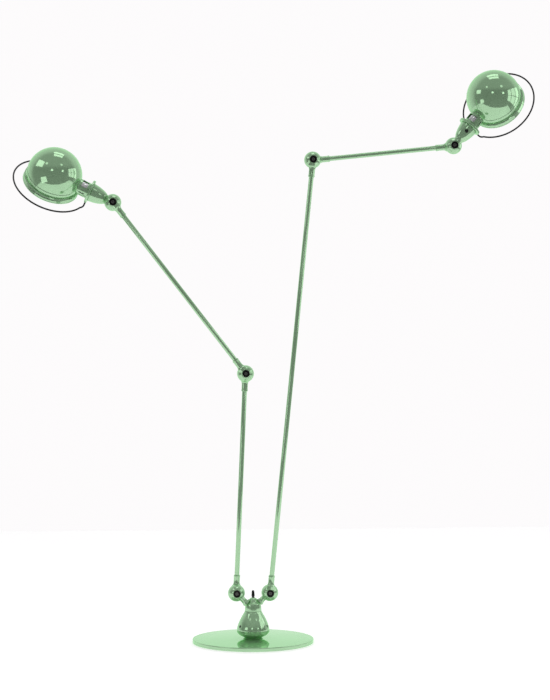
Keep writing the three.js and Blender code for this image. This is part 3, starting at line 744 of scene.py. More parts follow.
def along(origin, direction, across=Vector((0, 1, 0))):
    """A place at a point with +Z along a direction, and +Y as near to across as it can be."""
    z = direction.normalized()
    x = across.cross(z).normalized()
    y = z.cross(x)
    place = Matrix((x, y, z)).transposed().to_4x4()
    place.translation = origin
    return place


def towards(side):
    """Turns +Z to the front for side -1, or to the rear for side +1."""
    return turn(-side * math.pi / 2, "X")


# Base and post


def make_base_plate():
    recess = PAD_RADIUS + FIT
    corners = [
        (STUD_RADIUS + FIT, PAD_THICKNESS + FIT, 0),
        (recess, PAD_THICKNESS + FIT, 0.3),
        (recess, 1.0, 0.3),
        (BASE_RADIUS, 1.0, 1.2),
        (BASE_RADIUS, BASE_HEIGHT, 2.4),
        (STUD_RADIUS + FIT, BASE_HEIGHT, 0),
    ]
    fit_piece("base_plate", turned(rounded(corners, 6), WIDE_SIDES), Matrix(), *GREEN)


def make_foot_pad():
    corners = [(0, 0, 0), (PAD_RADIUS, 0, 0.5), (PAD_RADIUS, PAD_THICKNESS, 0.5), (0, PAD_THICKNESS, 0)]
    fit_piece("foot_pad", turned(rounded(corners), WIDE_SIDES), Matrix(), *SOFT)


BELL_CURVE = smooth_curve(
    [
        (PEAR_RADIUS, BELL_BOTTOM),
        (PEAR_RADIUS * 0.985, BELL_BOTTOM + BELL_HEIGHT * 0.12),
        (PEAR_RADIUS * 0.935, BELL_BOTTOM + BELL_HEIGHT * 0.27),
        (PEAR_RADIUS * 0.84, BELL_BOTTOM + BELL_HEIGHT * 0.48),
        (PEAR_RADIUS * 0.75, BELL_BOTTOM + BELL_HEIGHT * 0.64),
        (CAP_RADIUS + 5.8, BELL_BOTTOM + BELL_HEIGHT * 0.8),
        (CAP_RADIUS + 2, BELL_BOTTOM + BELL_HEIGHT * 0.92),
        (CAP_RADIUS, BELL_TOP),
    ]
)
SCREW_PLACE_HEIGHT = SEAM_HEIGHT + PEAR_SCREW_HEIGHT
SCREW_SEAT = min(r for r, z in BELL_CURVE if z < SCREW_PLACE_HEIGHT + 1) - SCREW_HEAD_HEIGHT


def to_screw_place(mesh, side):
    """Turns a shape on +Z to lie along one of the bell's screws."""
    turns = (turn(math.pi / 2, "X"), turn(side * PEAR_SCREW_SPREAD, "Z"))
    return moved(mesh, *turns, (0, 0, SCREW_PLACE_HEIGHT))


def make_bowl():
    waist = -math.degrees(math.acos(WAIST_RADIUS / PEAR_RADIUS))
    foot = [
        (FOOT_RADIUS - 8, BOWL_BOTTOM, 0),
        (FOOT_RADIUS, BOWL_BOTTOM, 0.5),
        (FOOT_RADIUS * 0.83, BOWL_BOTTOM + 2.6, 0),
    ]
    outline = [
        (STUD_RADIUS + FIT, BOWL_BOTTOM),
        *rounded(foot)[1:],
        *arc(PEAR_RADIUS, waist * 0.8, 0, 22, SEAM_HEIGHT, BOWL_DEPTH)[:-1],
        (PEAR_RADIUS, SEAM_HEIGHT - 0.4),
        (PEAR_RADIUS - 0.5, SEAM_HEIGHT),
        (SPIGOT_RADIUS, SEAM_HEIGHT),
        (SPIGOT_RADIUS, SEAM_HEIGHT + SPIGOT_HEIGHT),
        (SPIGOT_INNER, SEAM_HEIGHT + SPIGOT_HEIGHT),
        *arc(SPIGOT_INNER, 0, waist, 10, SEAM_HEIGHT, BOWL_DEPTH - 2 * PEAR_WALL),
    ]
    outline.append((STUD_RADIUS + FIT, outline[-1][1]))
    hole = rod(GROMMET_RADIUS + FIT, SPIGOT_INNER - 8, PEAR_RADIUS + OVERCUT)
    moved(hole, turn(-math.pi / 2, "X"), (0, 0, SEAM_HEIGHT - GROMMET_HEIGHT))
    screw_holes = [
        to_screw_place(rod(SCREW_RADIUS + FIT, SPIGOT_INNER - 3, PEAR_RADIUS - 5), side) for side in (-1, 1)
    ]
    shape = carved(turned(outline, 96), hole, *screw_holes)
    fit_piece("pear_bowl", shape, Matrix(), *GREEN)


def make_bell():
    inside = [(r - PEAR_WALL, min(z, BELL_TOP - PEAR_WALL)) for r, z in BELL_CURVE]
    outline = [
        (PEAR_RADIUS - 0.5, BELL_BOTTOM),
        (PEAR_RADIUS, BELL_BOTTOM + 0.5),
        *BELL_CURVE[1:],
        (STUD_RADIUS + FIT, BELL_TOP),
        (STUD_RADIUS + FIT, BELL_TOP - PEAR_WALL),
        *reversed(inside),
    ]
    holes = []
    for side in (-1, 1):
        holes.append(to_screw_place(rod(SCREW_HEAD_RADIUS + 0.5, SCREW_SEAT, PEAR_RADIUS + OVERCUT), side))
        holes.append(to_screw_place(rod(SCREW_RADIUS + FIT, SPIGOT_RADIUS, PEAR_RADIUS), side))
    shape = carved(turned(outline, 96), *holes)
    fit_piece("pear_bell", shape, Matrix(), *GREEN)


def screw(tip, seat, radius, head_radius, head_height):
    """A domed screw along +Z with a cross cut in its head."""
    corners = [
        (0, tip, 0),
        (radius, tip, 0.4),
        (radius, seat, 0),
        (head_radius, seat, 0.2),
        (head_radius, seat + head_height * 0.55, 0.5),
        (head_radius * 0.62, seat + head_height, 0.8),
        (0, seat + head_height, 0),
    ]
    slot = (head_height, head_radius * 0.32, head_radius * 1.3)
    top = (0, 0, seat + head_height + 0.1)
    cuts = [
        moved(block(*slot, 0.2), turn(math.pi / 2, "Y"), turn(angle, "Z"), top) for angle in (0, math.pi / 2)
    ]
    return carved(turned(rounded(corners), SMALL_SIDES), *cuts)


def make_pear_screws():
    for name, side in (("left", -1), ("right", 1)):
        shape = screw(SPIGOT_INNER - 1, SCREW_SEAT + FIT, SCREW_RADIUS, SCREW_HEAD_RADIUS, SCREW_HEAD_HEIGHT)
        fit_piece(f"pear_screw_{name}", to_screw_place(shape, side), Matrix(), [BLACK_STEEL], "black_plastic")


def make_grommet():
    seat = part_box("cable_grommet")[1].y * 1000
    corners = [
        (CABLE_RADIUS, SPIGOT_INNER - 1, 0),
        (GROMMET_RADIUS - 1, SPIGOT_INNER - 1, 0.4),
        (GROMMET_RADIUS - 1, seat - 6, 0),
        (GROMMET_RADIUS, seat - 6, 0),
        (GROMMET_RADIUS, seat, 1.2),
        (CABLE_RADIUS, seat, 0.8),
    ]
    shape = moved(turned(rounded(corners)), turn(-math.pi / 2, "X"), (0, 0, SEAM_HEIGHT - GROMMET_HEIGHT))
    fit_piece("cable_grommet", shape, Matrix(), *SOFT)


# Forked cap and switch


def cap_outside():
    shoulder = rounded(
        [
            (0, CAP_TOP, 0),
            (CAP_RADIUS - 2.4, CAP_TOP, 7),
            (CAP_RADIUS - 0.5, CAP_BOTTOM + 9, 12),
            (CAP_RADIUS, CAP_BOTTOM, 0.6),
            (0, CAP_BOTTOM, 0),
        ],
        8,
    )
    dome = arc(CAP_DOME_RADIUS, 90, 14, 14, CAP_TOP)
    foot = [(CAP_DOME_RADIUS + 0.6, CAP_TOP + 1.3), (CAP_DOME_RADIUS + 2.2, CAP_TOP + 0.1)]
    return [(0, CAP_TOP + CAP_DOME_RADIUS), *dome[1:], *foot, *shoulder[1:]]


def cap_inside():
    top = CAP_TOP + CAP_DOME_RADIUS - CAP_WALL
    wall = CAP_RADIUS - CAP_WALL
    return [
        (0, CAP_BOTTOM + CAP_WALL),
        (wall, CAP_BOTTOM + CAP_WALL),
        (wall, CAP_TOP - 2 * CAP_WALL),
        (CAP_DOME_RADIUS - CAP_WALL, CAP_TOP - CAP_WALL),
        *arc(CAP_DOME_RADIUS - CAP_WALL, 0, 80, 8, CAP_TOP),
        (0, top),
    ]


def fork_place(side):
    """A place on a fork's ball with +Z down its branch, in millimetres."""
    centre = spot("left_base_tilt" if side < 0 else "right_base_tilt") * 1000
    angle = math.radians(BRANCH_ANGLE)
    return along(centre, Vector((-side * math.cos(angle), 0, -math.sin(angle))))


def make_cap():
    reach = abs(spot("right_base_tilt").x) * 1000 / math.cos(math.radians(BRANCH_ANGLE))
    flare = smooth_curve([(BRANCH_RADIUS + widening, z) for widening, z in BRANCH_FLARE], 5)
    branches, cuts = [], []
    for side in (-1, 1):
        place = fork_place(side)
        offset = (0, side * NECK_OFFSET, 0)
        outline = [(0, BRANCH_START), (BRANCH_RADIUS, BRANCH_START), *flare, (0, BRANCH_END)]
        branches.append(moved(turned(outline), offset, place))
        cuts.append(moved(ball(BALL_RADIUS + 2 * FIT), place))
        cuts.append(moved(rod(STUB_RADIUS + FIT, 0, STUB_REACH + FIT), offset, place))
        cuts.append(moved(rod(CABLE_RADIUS, 0, reach), offset, place))
    lever_hole = rod(LEVER_HOLE_RADIUS, LEVER_PIVOT, CAP_TOP + 2 * CAP_DOME_RADIUS)
    stud_hole = rod(STUD_RADIUS + FIT, CAP_BOTTOM - OVERCUT, CAP_BOTTOM + CAP_WALL + OVERCUT)
    shape = joined(turned(cap_outside(), 96), *branches)
    shape = carved(shape, turned(cap_inside()), *cuts, lever_hole, stud_hole)
    fit_piece("yoke_cap", shape, Matrix(), *GREEN)


def make_lever():
    outline = smooth_curve(
        [
            (0, -LEVER_STEM_RADIUS),
            (LEVER_STEM_RADIUS * 1.2, -0.6),
            (LEVER_STEM_RADIUS * 1.1, LEVER_LENGTH * 0.2),
            (LEVER_STEM_RADIUS * 1.2, LEVER_LENGTH * 0.29),
            (LEVER_TIP_RADIUS * 0.95, LEVER_LENGTH * 0.36),
            (LEVER_TIP_RADIUS, LEVER_LENGTH * 0.5),
            (LEVER_TIP_RADIUS * 0.9, LEVER_LENGTH * 0.75),
            (LEVER_TIP_RADIUS * 0.76, LEVER_LENGTH * 0.92),
            (LEVER_TIP_RADIUS * 0.5, LEVER_LENGTH * 0.985),
            (0, LEVER_LENGTH),
        ]
    )
    outline = [(max(r, 0), z) for r, z in outline]
    pin = moved(rod(1.2, 0.5 - CAP_DOME_RADIUS, CAP_DOME_RADIUS - 0.5), turn(math.pi / 2, "Y"))
    shape = joined(turned(outline, SMALL_SIDES), pin)
    place = Matrix.Translation(spot("switch_tilt")) @ turn(-LEVER_TILT, "X")
    fit_piece("switch_lever", shape, place, *BLACK)


# Ball joints. Side -1 is the front half and +1 is the rear half.


def ferrule():
    """What takes a tube: a flared root, a plain barrel, a bead and a chamfered mouth."""
    root = smooth_curve([(FERRULE_RADIUS + widening, z) for widening, z in FERRULE_FLARE], 5)
    mouth = rounded(
        [
            (FERRULE_RADIUS, 33, 0),
            (FERRULE_RADIUS, FERRULE_REACH - 4.6, 0.4),
            (FERRULE_RADIUS + 0.6, FERRULE_REACH - 4.0, 0.4),
            (FERRULE_RADIUS + 0.6, FERRULE_REACH - 0.6, 0.5),
            (FERRULE_RADIUS - 0.4, FERRULE_REACH, 0.3),
            (0, FERRULE_REACH, 0),
        ],
        3,
    )
    start = [(0, FERRULE_START), (FERRULE_RADIUS + FERRULE_FLARE[0][0], FERRULE_START)]
    return turned([*start, *root, *mouth], 56)


def half_shell(side, kind):
    """One half of a ball joint about its ball's centre, with +Z along its own neck."""
    offset = (0, side * NECK_OFFSET, 0)
    inside = BALL_RADIUS - BALL_WALL
    dome = turned([(0, FIT / 2), *arc(BALL_RADIUS, 0.4, 90, 24)[:-1], (0, BALL_RADIUS)], 88)
    hollow = moved(ball(inside, 70), (0, side * FIT / 4, 0))
    wire_end = STUB_REACH if kind == "stub" else SOCKET_FLOOR
    tools = [hollow, moved(rod(CABLE_RADIUS, BALL_RADIUS / 2, wire_end + OVERCUT), offset)]
    if kind == "stub":
        neck = rod(STUB_RADIUS, BALL_RADIUS / 2, STUB_REACH)
    else:
        neck = ferrule()
        tools.append(moved(rod(TUBE_RADIUS + FIT, SOCKET_FLOOR, FERRULE_REACH + OVERCUT), offset))
    half = CLEARING_SIZE / 2
    clearing = moved(block(CLEARING_SIZE, half, CLEARING_SIZE, 0.5), (0, -side * (half / 2 - FIT / 2), 0))
    whole = joined(moved(dome, towards(side)), moved(neck, offset))
    whole = carved(carved(whole, *tools), clearing)
    if side < 0:
        seat = rod(CUP_RADIUS + CUP_LEDGE - 1, CUP_SEAT - CUP_LEDGE, inside + WALL_LAP)
        whole = joined(whole, moved(seat, towards(side)))
        recess = rod(CUP_RADIUS + FIT, CUP_SEAT, BALL_RADIUS + OVERCUT, ROUND_SIDES)
        hole = rod(BOLT_RADIUS + FIT, 0, BALL_RADIUS)
        return carved(whole, moved(recess, towards(side)), moved(hole, towards(side)))
    boss = joined(whole, moved(rod(BOSS_RADIUS, BOSS_START, inside + WALL_LAP), towards(side)))
    return carved(boss, moved(rod(BOLT_RADIUS + FIT, 0, BOLT_END + FIT), towards(side)))


def cup():
    """The black cup round the bolt's head, with a rounded lip and a stepped floor."""
    back, front = CUP_SEAT + FIT, CUP_MOUTH + FIT
    corners = [
        (BOLT_RADIUS + FIT, back, 0),
        (CUP_RADIUS, back, 0.3),
        (CUP_RADIUS, front, 0.9),
        (CUP_RECESS_RADIUS, front, 0.8),
        (CUP_RECESS_RADIUS - 0.5, front - CUP_RECESS_DEPTH, 0.5),
        (BOLT_RADIUS + FIT, front - CUP_RECESS_DEPTH, 0),
    ]
    return moved(turned(rounded(corners)), towards(-1))


def bolt():
    seat = CUP_MOUTH + 2 * FIT - CUP_RECESS_DEPTH
    top = seat + BOLT_HEAD_HEIGHT
    corners = [
        (0, -BOLT_END, 0),
        (BOLT_RADIUS, -BOLT_END, 0.5),
        (BOLT_RADIUS, seat, 0),
        (BOLT_HEAD_RADIUS, seat, 0.2),
        (BOLT_HEAD_RADIUS, top, 0.6),
        (0, top, 0),
    ]
    socket = rod(BOLT_SOCKET_RADIUS, top - 2.2, top + OVERCUT, 6)
    return moved(carved(turned(rounded(corners), 48), socket), towards(-1))


HALVES = {(side, kind): half_shell(side, kind) for side in (-1, 1) for kind in ("ferrule", "stub")}
CUP = cup()
BOLT = bolt()


def make_half(joint, side, kind, place):
    """One half of a joint. The front half brings the cup and the bolt."""
    end = "rear" if side > 0 else "front"
    fit_piece(f"{joint}_{end}_half", HALVES[side, kind].copy(), place, *GREEN)
    if side < 0:
        fit_piece(f"{joint}_cup", CUP.copy(), place, *BLACK)
        fit_piece(f"{joint}_bolt", BOLT.copy(), place, [STEEL], "steel")


def make_tube(name, side, start, end):
    """One arm's tube between two ball centres."""
    length = (end - start).length * 1000
    low, high = SOCKET_FLOOR + FIT, length - SOCKET_FLOOR - FIT
    inner = TUBE_RADIUS - TUBE_WALL
    corners = [(inner, low, 0.3), (TUBE_RADIUS, low, 0.3), (TUBE_RADIUS, high, 0.3), (inner, high, 0.3)]
    shape = moved(turned(rounded(corners, 2), 48), (0, side * NECK_OFFSET, 0))
    fit_piece(name, shape, along(start, end - start), *GREEN)


def make_arm(name, side):
    """A whole arm. The yoke's half of the base joint is on the side given."""
    points = [spot(f"{name}_{joint}_tilt") for joint in ("base", "elbow", "wrist")]
    base, elbow, wrist = points
    neck = Vector(JOINTS[f"{name}_head_swivel"]["axis"])
    fork = fork_place(side)
    fork.translation = base
    make_half(f"{name}_base_joint", side, "stub", fork)
    make_half(f"{name}_base_joint", -side, "ferrule", along(base, elbow - base))
    make_half(f"{name}_elbow", -side, "ferrule", along(elbow, base - elbow))
    make_half(f"{name}_elbow", side, "ferrule", along(elbow, wrist - elbow))
    make_half(f"{name}_wrist", side, "ferrule", along(wrist, elbow - wrist))
    make_half(f"{name}_wrist", -side, "stub", along(wrist, neck))
    make_tube(f"{name}_lower_tube", -side, base, elbow)
    make_tube(f"{name}_upper_tube", side, elbow, wrist)


# Heads. +Z runs along the neck and +X is the way that the shade opens.


HOUSING_CURVE = smooth_curve(
    [
        (HOUSING_ROOT_RADIUS * 0.9, HOUSING_ROOT),
        (HOUSING_ROOT_RADIUS, HOUSING_START),
        (HOUSING_RADIUS * 0.68, HOUSING_START + HOUSING_LENGTH * 0.18),
        (HOUSING_RADIUS * 0.81, HOUSING_START + HOUSING_LENGTH * 0.38),
        (HOUSING_RADIUS * 0.91, HOUSING_START + HOUSING_LENGTH * 0.61),
        (HOUSING_RADIUS * 0.97, HOUSING_START + HOUSING_LENGTH * 0.82),
        (HOUSING_RADIUS, HOUSING_END - 0.5),
    ]
)
NECK_SCREW_PLACE = HOUSING_END - NECK_SCREW_SETBACK
NECK_SCREW_SEAT = max(r for r, z in HOUSING_CURVE if z < NECK_SCREW_PLACE + SCREW_HEAD_RADIUS) + FIT


def housing(side):
    """The bell-shaped housing between the wrist and the flange."""
    inner = HOUSING_RADIUS - HOUSING_WALL
    web = HOUSING_END - WEB_DEPTH
    outline = [
        (0, HOUSING_ROOT),
        *HOUSING_CURVE,
        (HOUSING_RADIUS - 0.5, HOUSING_END),
        (inner, HOUSING_END),
        (inner, web),
        (HUB_RADIUS + FIT, web),
        (HUB_RADIUS + FIT, web - WEB_THICKNESS),
        (inner * 0.88, web - WEB_THICKNESS),
        (inner * 0.72, HOUSING_START + HOUSING_LENGTH * 0.58),
        (STUB_RADIUS + FIT, STUB_REACH + FIT),
        (0, STUB_REACH + FIT),
    ]
    tools = [
        rod(STUB_RADIUS + FIT, HOUSING_ROOT - OVERCUT, STUB_REACH + 2 * FIT),
        moved(ball(BALL_RADIUS + 2 * FIT), (0, -side * NECK_OFFSET, 0)),
        moved(
            rod(SCREW_RADIUS + FIT, HUB_RADIUS + HUB_CLEARANCE, HOUSING_RADIUS + OVERCUT),
            towards(side),
            (0, 0, NECK_SCREW_PLACE),
        ),
    ]
    return carved(turned(outline, 96), *tools)


def neck_screw(side):
    """A dark screw on a pale cup washer."""
    head = NECK_SCREW_SEAT
    fastener = screw(HUB_RADIUS + HUB_CLEARANCE + FIT, head, SCREW_RADIUS, SCREW_HEAD_RADIUS, 1.6)
    washer = turned(
        rounded(
            [
                (SCREW_RADIUS + 0.1, head - 2.2, 0),
                (SCREW_HEAD_RADIUS + 2.4, head - 2.2, 0.2),
                (SCREW_HEAD_RADIUS + 1.0, head + 0.5, 0.6),
                (SCREW_HEAD_RADIUS - 0.2, head - 0.1, 0),
                (SCREW_RADIUS + 0.1, head - 0.1, 0),
            ]
        ),
        SMALL_SIDES,
    )
    return moved(gathered((fastener, 0), (washer, 1)), towards(side), (0, 0, NECK_SCREW_PLACE))


def flange():
    corners = [
        (WIRE_WAY_RADIUS, FLANGE_BOTTOM - HUB_LENGTH, 0.3),
        (HUB_RADIUS, FLANGE_BOTTOM - HUB_LENGTH, 0.6),
        (HUB_RADIUS, FLANGE_BOTTOM, 0.3),
        (FLANGE_RADIUS, FLANGE_BOTTOM, 1.6),
        (FLANGE_RADIUS, FLANGE_TOP, 1.6),
        (WIRE_WAY_RADIUS, FLANGE_TOP, 0),
    ]
    plug = FLANGE_RADIUS - WIRE_PLUG_DEPTH
    holes = [
        moved(
            rod(WIRE_RADIUS + 0.4, plug - OVERCUT, FLANGE_RADIUS + OVERCUT),
            turn(math.pi / 2, "Y"),
            turn(side * RING_PLUG_ANGLE, "Z"),
            (0, 0, RING_PLUG_HEIGHT),
        )
        for side in (-1, 1)
    ]
    return carved(turned(rounded(corners, 6), 96), *holes)


def collar():
    """The ventilated collar: two bands, between them a window at the back and slots at the sides."""
    corners = [
        (COLLAR_INNER, COLLAR_BOTTOM, 0.3),
        (COLLAR_RADIUS, COLLAR_BOTTOM, 0.5),
        (COLLAR_RADIUS, COLLAR_TOP, 0.5),
        (COLLAR_INNER, COLLAR_TOP, 0.3),
    ]
    middle = COLLAR_BOTTOM + COLLAR_BAND + WINDOW_LENGTH / 2
    window = moved(block(COLLAR_RADIUS, WINDOW_WIDTH, WINDOW_LENGTH, 3), (-COLLAR_RADIUS, 0, middle))
    sizes = (COLLAR_RADIUS, middle, SLOT_WIDTH, COLLAR_RADIUS / 2, WINDOW_LENGTH)
    slots = [bars(3, sign * SLOT_START, sign * SLOT_STEP, *sizes) for sign in (-1, 1)]
    return carved(turned(rounded(corners, 3), 96), window, *slots)


def lampholder():
    """A chromed shell on its base ring, with a knurled band and a dark gap above it."""
    floor = COLLAR_BOTTOM
    band_start, gap_start, gap_end = floor + 9, floor + 15, floor + 17
    top = floor + HOLDER_FLOOR + FIT + BULB_CAP_LENGTH + 1
    inner = HOLDER_RADIUS - HOLDER_WALL
    corners = [
        (WIRE_WAY_RADIUS, floor, 0),
        (COLLAR_INNER - FIT, floor, 0.2),
        (COLLAR_INNER - FIT, floor + HOLDER_FLOOR, 0.5),
        (HOLDER_RADIUS - 0.6, floor + HOLDER_FLOOR, 0.3),
        (HOLDER_RADIUS - 0.6, band_start, 0.3),
        (HOLDER_RADIUS, band_start, 0.3),
        (HOLDER_RADIUS, gap_start, 0.3),
        (HOLDER_RADIUS - 1.1, gap_start, 0),
        (HOLDER_RADIUS - 1.1, gap_end, 0),
        (HOLDER_RADIUS, gap_end, 0.3),
        (HOLDER_RADIUS, top - 2, 0.8),
        (HOLDER_RADIUS - 0.5, top, 0.5),
        (inner, top, 0.3),
        (inner, floor + HOLDER_FLOOR, 0),
        (WIRE_WAY_RADIUS, floor + HOLDER_FLOOR, 0),
    ]
    shell = turned(rounded(corners, 3))
    knurl = bars(KNURLS, 0, 2 * math.pi / KNURLS, HOLDER_RADIUS - 0.35, floor + 12, 1.2, 1.6, 5.2)
    low, high, outer = floor + 15.1, floor + 16.9, HOLDER_RADIUS - 0.9
    gap = turned([(inner + 0.3, low), (outer, low), (outer, high), (inner + 0.3, high)])
    return gathered((shell, 0), (knurl, 0), (gap, 1))


def bulb():
    start = COLLAR_BOTTOM + HOLDER_FLOOR + FIT
    globe = start + BULB_LENGTH - BULB_RADIUS
    top = start + BULB_CAP_LENGTH
    neck = smooth_curve(
        [
            (BULB_CAP_RADIUS - 0.4, top),
            (BULB_CAP_RADIUS * 1.05, top + 5),
            (BULB_CAP_RADIUS * 1.35, top + 13),
            (BULB_RADIUS * 0.85, globe - BULB_RADIUS * 0.53),
        ],
        6,
    )
    glass = turned([(0, top), *neck, *arc(BULB_RADIUS, -26, 90, 20, globe)[:-1], (0, globe + BULB_RADIUS)])
    cap = turned(
        rounded(
            [
                (0, start, 0),
                (BULB_CAP_RADIUS * 0.4, start, 0.8),
                (BULB_CAP_RADIUS * 0.5, start + 2.2, 0.4),
                (BULB_CAP_RADIUS - 1.4, start + 4.5, 0.8),
                (BULB_CAP_RADIUS - 1.4, top - 3, 0.4),
                (BULB_CAP_RADIUS, top - 1.5, 0.4),
                (BULB_CAP_RADIUS, top + 0.3, 0.3),
                (0, top + 0.3, 0),
            ]
        ),
        SMALL_SIDES,
    )
    values = {"Turns": 4.5, "Radius": BULB_CAP_RADIUS - 1.6, "Rise": 15.0, "Thickness": 1.0}
    thread = moved(grown(THREAD, {**values, "Material": STEEL}), (0, 0, start + 6))
    return gathered((glass, 0), (cap, 1), (thread, 1))


def shade():
    """The dome with its dark seam, its stepped rim and its rolled edge, lined with white enamel."""
    seam = RIM_START - RIM_STEP
    angle = math.degrees(math.asin(seam / SHADE_RADIUS))
    edge = math.sqrt(SHADE_RADIUS**2 - seam**2)
    inner = SHADE_RADIUS - SHADE_WALL
    outside = [(0, -SHADE_RADIUS), *arc(SHADE_RADIUS, -88, angle - 1.2, 60)]
    groove = [(edge - 0.6, seam - 0.7), (edge - 0.7, seam + 0.2)]
    step = rounded(
        [
            (edge - 0.7, seam + 0.2, 0),
            (edge + 1.2, seam + 0.6, 0.5),
            (RIM_RADIUS - 0.8, RIM_START - 0.6, 0.8),
            (RIM_RADIUS - 0.6, RIM_END - 2.6, 0.4),
            (RIM_RADIUS, RIM_END - 2.2, 0.5),
            (RIM_RADIUS, RIM_END, 0.9),
            (RIM_RADIUS - 2.2, RIM_END, 0.9),
            (RIM_RADIUS - 2.4, RIM_START + SHADE_WALL, 0.6),
            (edge - SHADE_WALL - 0.6, seam + SHADE_WALL, 0.6),
            (edge - SHADE_WALL - 0.8, seam - 2, 0),
        ],
        4,
    )
    inside = arc(inner, angle - 2.2, -88, 50)
    outline = [*outside, *groove, *step[1:-1], *inside, (0, -inner)]
    lining = len(outside) + len(groove) + 6 * 5
    shell = turned(outline, WIDE_SIDES, (lining, len(outline)))
    hole = rod(COLLAR_RADIUS + FIT, -RIM_RADIUS - OVERCUT, 0, 96)
    return moved(
        carved(moved(shell, turn(math.pi / 2, "Y")), moved(hole, (-SHADE_OFFSET, 0, 0))),
        (SHADE_OFFSET, 0, SHADE_CENTRE),
    )


def ring_path():
    """The handle's wire: in from one plug, round the ring and out to the other plug."""

    def plug(side, radius):
        turned_by = side * RING_PLUG_ANGLE
        return Vector((radius * math.cos(turned_by), radius * math.sin(turned_by), RING_PLUG_HEIGHT))

    def on_ring(angle):
        y, z = RING_RADIUS * math.sin(angle), RING_CENTRE + RING_RADIUS * math.cos(angle)
        return Vector((RING_OFFSET, y, z))

    def bend(side, reach):
        corner = plug(side, RING_OFFSET / math.cos(RING_PLUG_ANGLE))
        start = corner + (plug(side, 0) - corner).normalized() * WIRE_BEND
        end = on_ring(side * reach)
        times = [k / 10 for k in range(10)]
        return [start * (1 - t) ** 2 + corner * 2 * t * (1 - t) + end * t**2 for t in times]

    reach = math.pi - RING_GAP_HALF_ANGLE - WIRE_BEND / RING_RADIUS
    inner = FLANGE_RADIUS - WIRE_PLUG_DEPTH
    around = [on_ring(-reach + 2 * reach * k / RING_STEPS) for k in range(RING_STEPS + 1)]
    first = [plug(-1, inner), *bend(-1, reach)]
    last = [*reversed(bend(1, reach)), plug(1, inner)]
    return [*first, *around, *last]


def handle_ring():
    """A round wire along the ring's path."""
    points = ring_path()
    curve = bpy.data.curves.new("wire", "CURVE")
    curve.dimensions = "3D"
    curve.bevel_depth = WIRE_RADIUS
    curve.bevel_resolution = 4
    curve.use_fill_caps = True
    spline = curve.splines.new("POLY")
    spline.points.add(len(points) - 1)
    for point, place in zip(spline.points, points):
        point.co = (*place, 1)
    mesh = baked(held(curve))
    work = bmesh.new()
    work.from_mesh(mesh)
    bmesh.ops.remove_doubles(work, verts=work.verts, dist=1e-4)
    bmesh.ops.recalc_face_normals(work, faces=work.faces)
    return as_mesh(work)


HEAD_PIECES = {
    "flange": (flange(), *GREEN),
    "collar": (collar(), *GREEN),
    "lampholder": (lampholder(), [CHROME, PLASTIC], "chrome"),
    "bulb": (bulb(), [GLASS, ZINC], "opal_glass"),
    "shade": (shade(), [LACQUER, ENAMEL], "green_lacquer"),
    "handle_ring": (handle_ring(), [BLACK_WIRE], "black_lacquer"),
}


def head_place(name):
    """The head's place: on the neck's axis, with +X towards the side that the handle's ring is on."""
    origin = spot(f"{name}_head_swivel")
    axis = Vector(JOINTS[f"{name}_head_swivel"]["axis"]).normalized()
    wire = frame["nodes"][f"{name}_handle_ring"].data.vertices
    middle = sum((v.co for v in wire), Vector()) / len(wire) - origin
    opening = (middle - axis * middle.dot(axis)).normalized()
    return along(origin, axis, axis.cross(opening))


def make_head(name, side):
    """A whole head. Its neck is on the side given."""
    neck = along(spot(f"{name}_head_swivel"), Vector(JOINTS[f"{name}_head_swivel"]["axis"]))
    fit_piece(f"{name}_neck_housing", housing(side), neck, *GREEN)
    fit_piece(f"{name}_neck_screw", neck_screw(side), neck, [BLACK_STEEL, ZINC], "black_plastic")
    place = head_place(name)
    for piece, (shape, *finish) in HEAD_PIECES.items():
        fit_piece(f"{name}_{piece}", shape.copy(), place, *finish)


def coat_hidden_pieces():
    """The pieces that stay inside the joints and the post keep their plain shape."""
    for name, node in frame["nodes"].items():
        if name.endswith("contact_disc") or name == "centre_stud":
            node.data.materials.clear()
            node.data.materials.append(STEEL if name == "centre_stud" else BOARD)


# Studio

CAMERA_DISTANCE = 4577.23
CAMERA_HEIGHT = 745.9
CAMERA_ACROSS = 89.45
CAMERA_TURN = math.radians(5.43)
CAMERA_LENS = 86.4
CAMERA_SHIFT = (-0.0157, 0.0262)

# The far lamps, in metres: each one's direction and glow, and their distance from a point on the axis
FAR_LAMPS = [
    (-0.2, -0.955, 0.23, 1.7),
    (0.53, -0.82, 0.19, 1.7),
    (-0.5, -0.6, 0.62, 1.0),
    (0.42, -0.68, 0.6, 1.0),
]
FAR_LAMP_DISTANCE = 7
FAR_LAMP_TARGET = 1.3


def make_camera():
    data = bpy.data.cameras.new("camera")
    data.lens = CAMERA_LENS
    data.sensor_width = 36
    data.shift_x, data.shift_y = CAMERA_SHIFT
    data.clip_end = 200
    camera = bpy.data.objects.new("camera", data)
    bpy.context.scene.collection.objects.link(camera)
    turn_back = turn(-CAMERA_TURN, "Z")
    camera.matrix_world = (
        turn_back
        @ Matrix.Translation(Vector((CAMERA_ACROSS, -CAMERA_DISTANCE, CAMERA_HEIGHT)) * 0.001)
        @ turn(math.pi / 2, "X")
    )
    bpy.context.scene.camera = camera


def make_floor():
    """A flat pale sheet under the lamp."""
    work = bmesh.new()
    corners = [(-2.6, -1.2), (2.8, -1.2), (2.8, 3.2), (-2.6, 3.2)]
    work.faces.new([work.verts.new((x, y, -0.0005)) for x, y in corners])
    mesh = as_mesh(work)
    mesh.materials.append(FLOOR)
    floor = bpy.data.objects.new("floor", mesh)
    bpy.context.scene.collection.objects.link(floor)


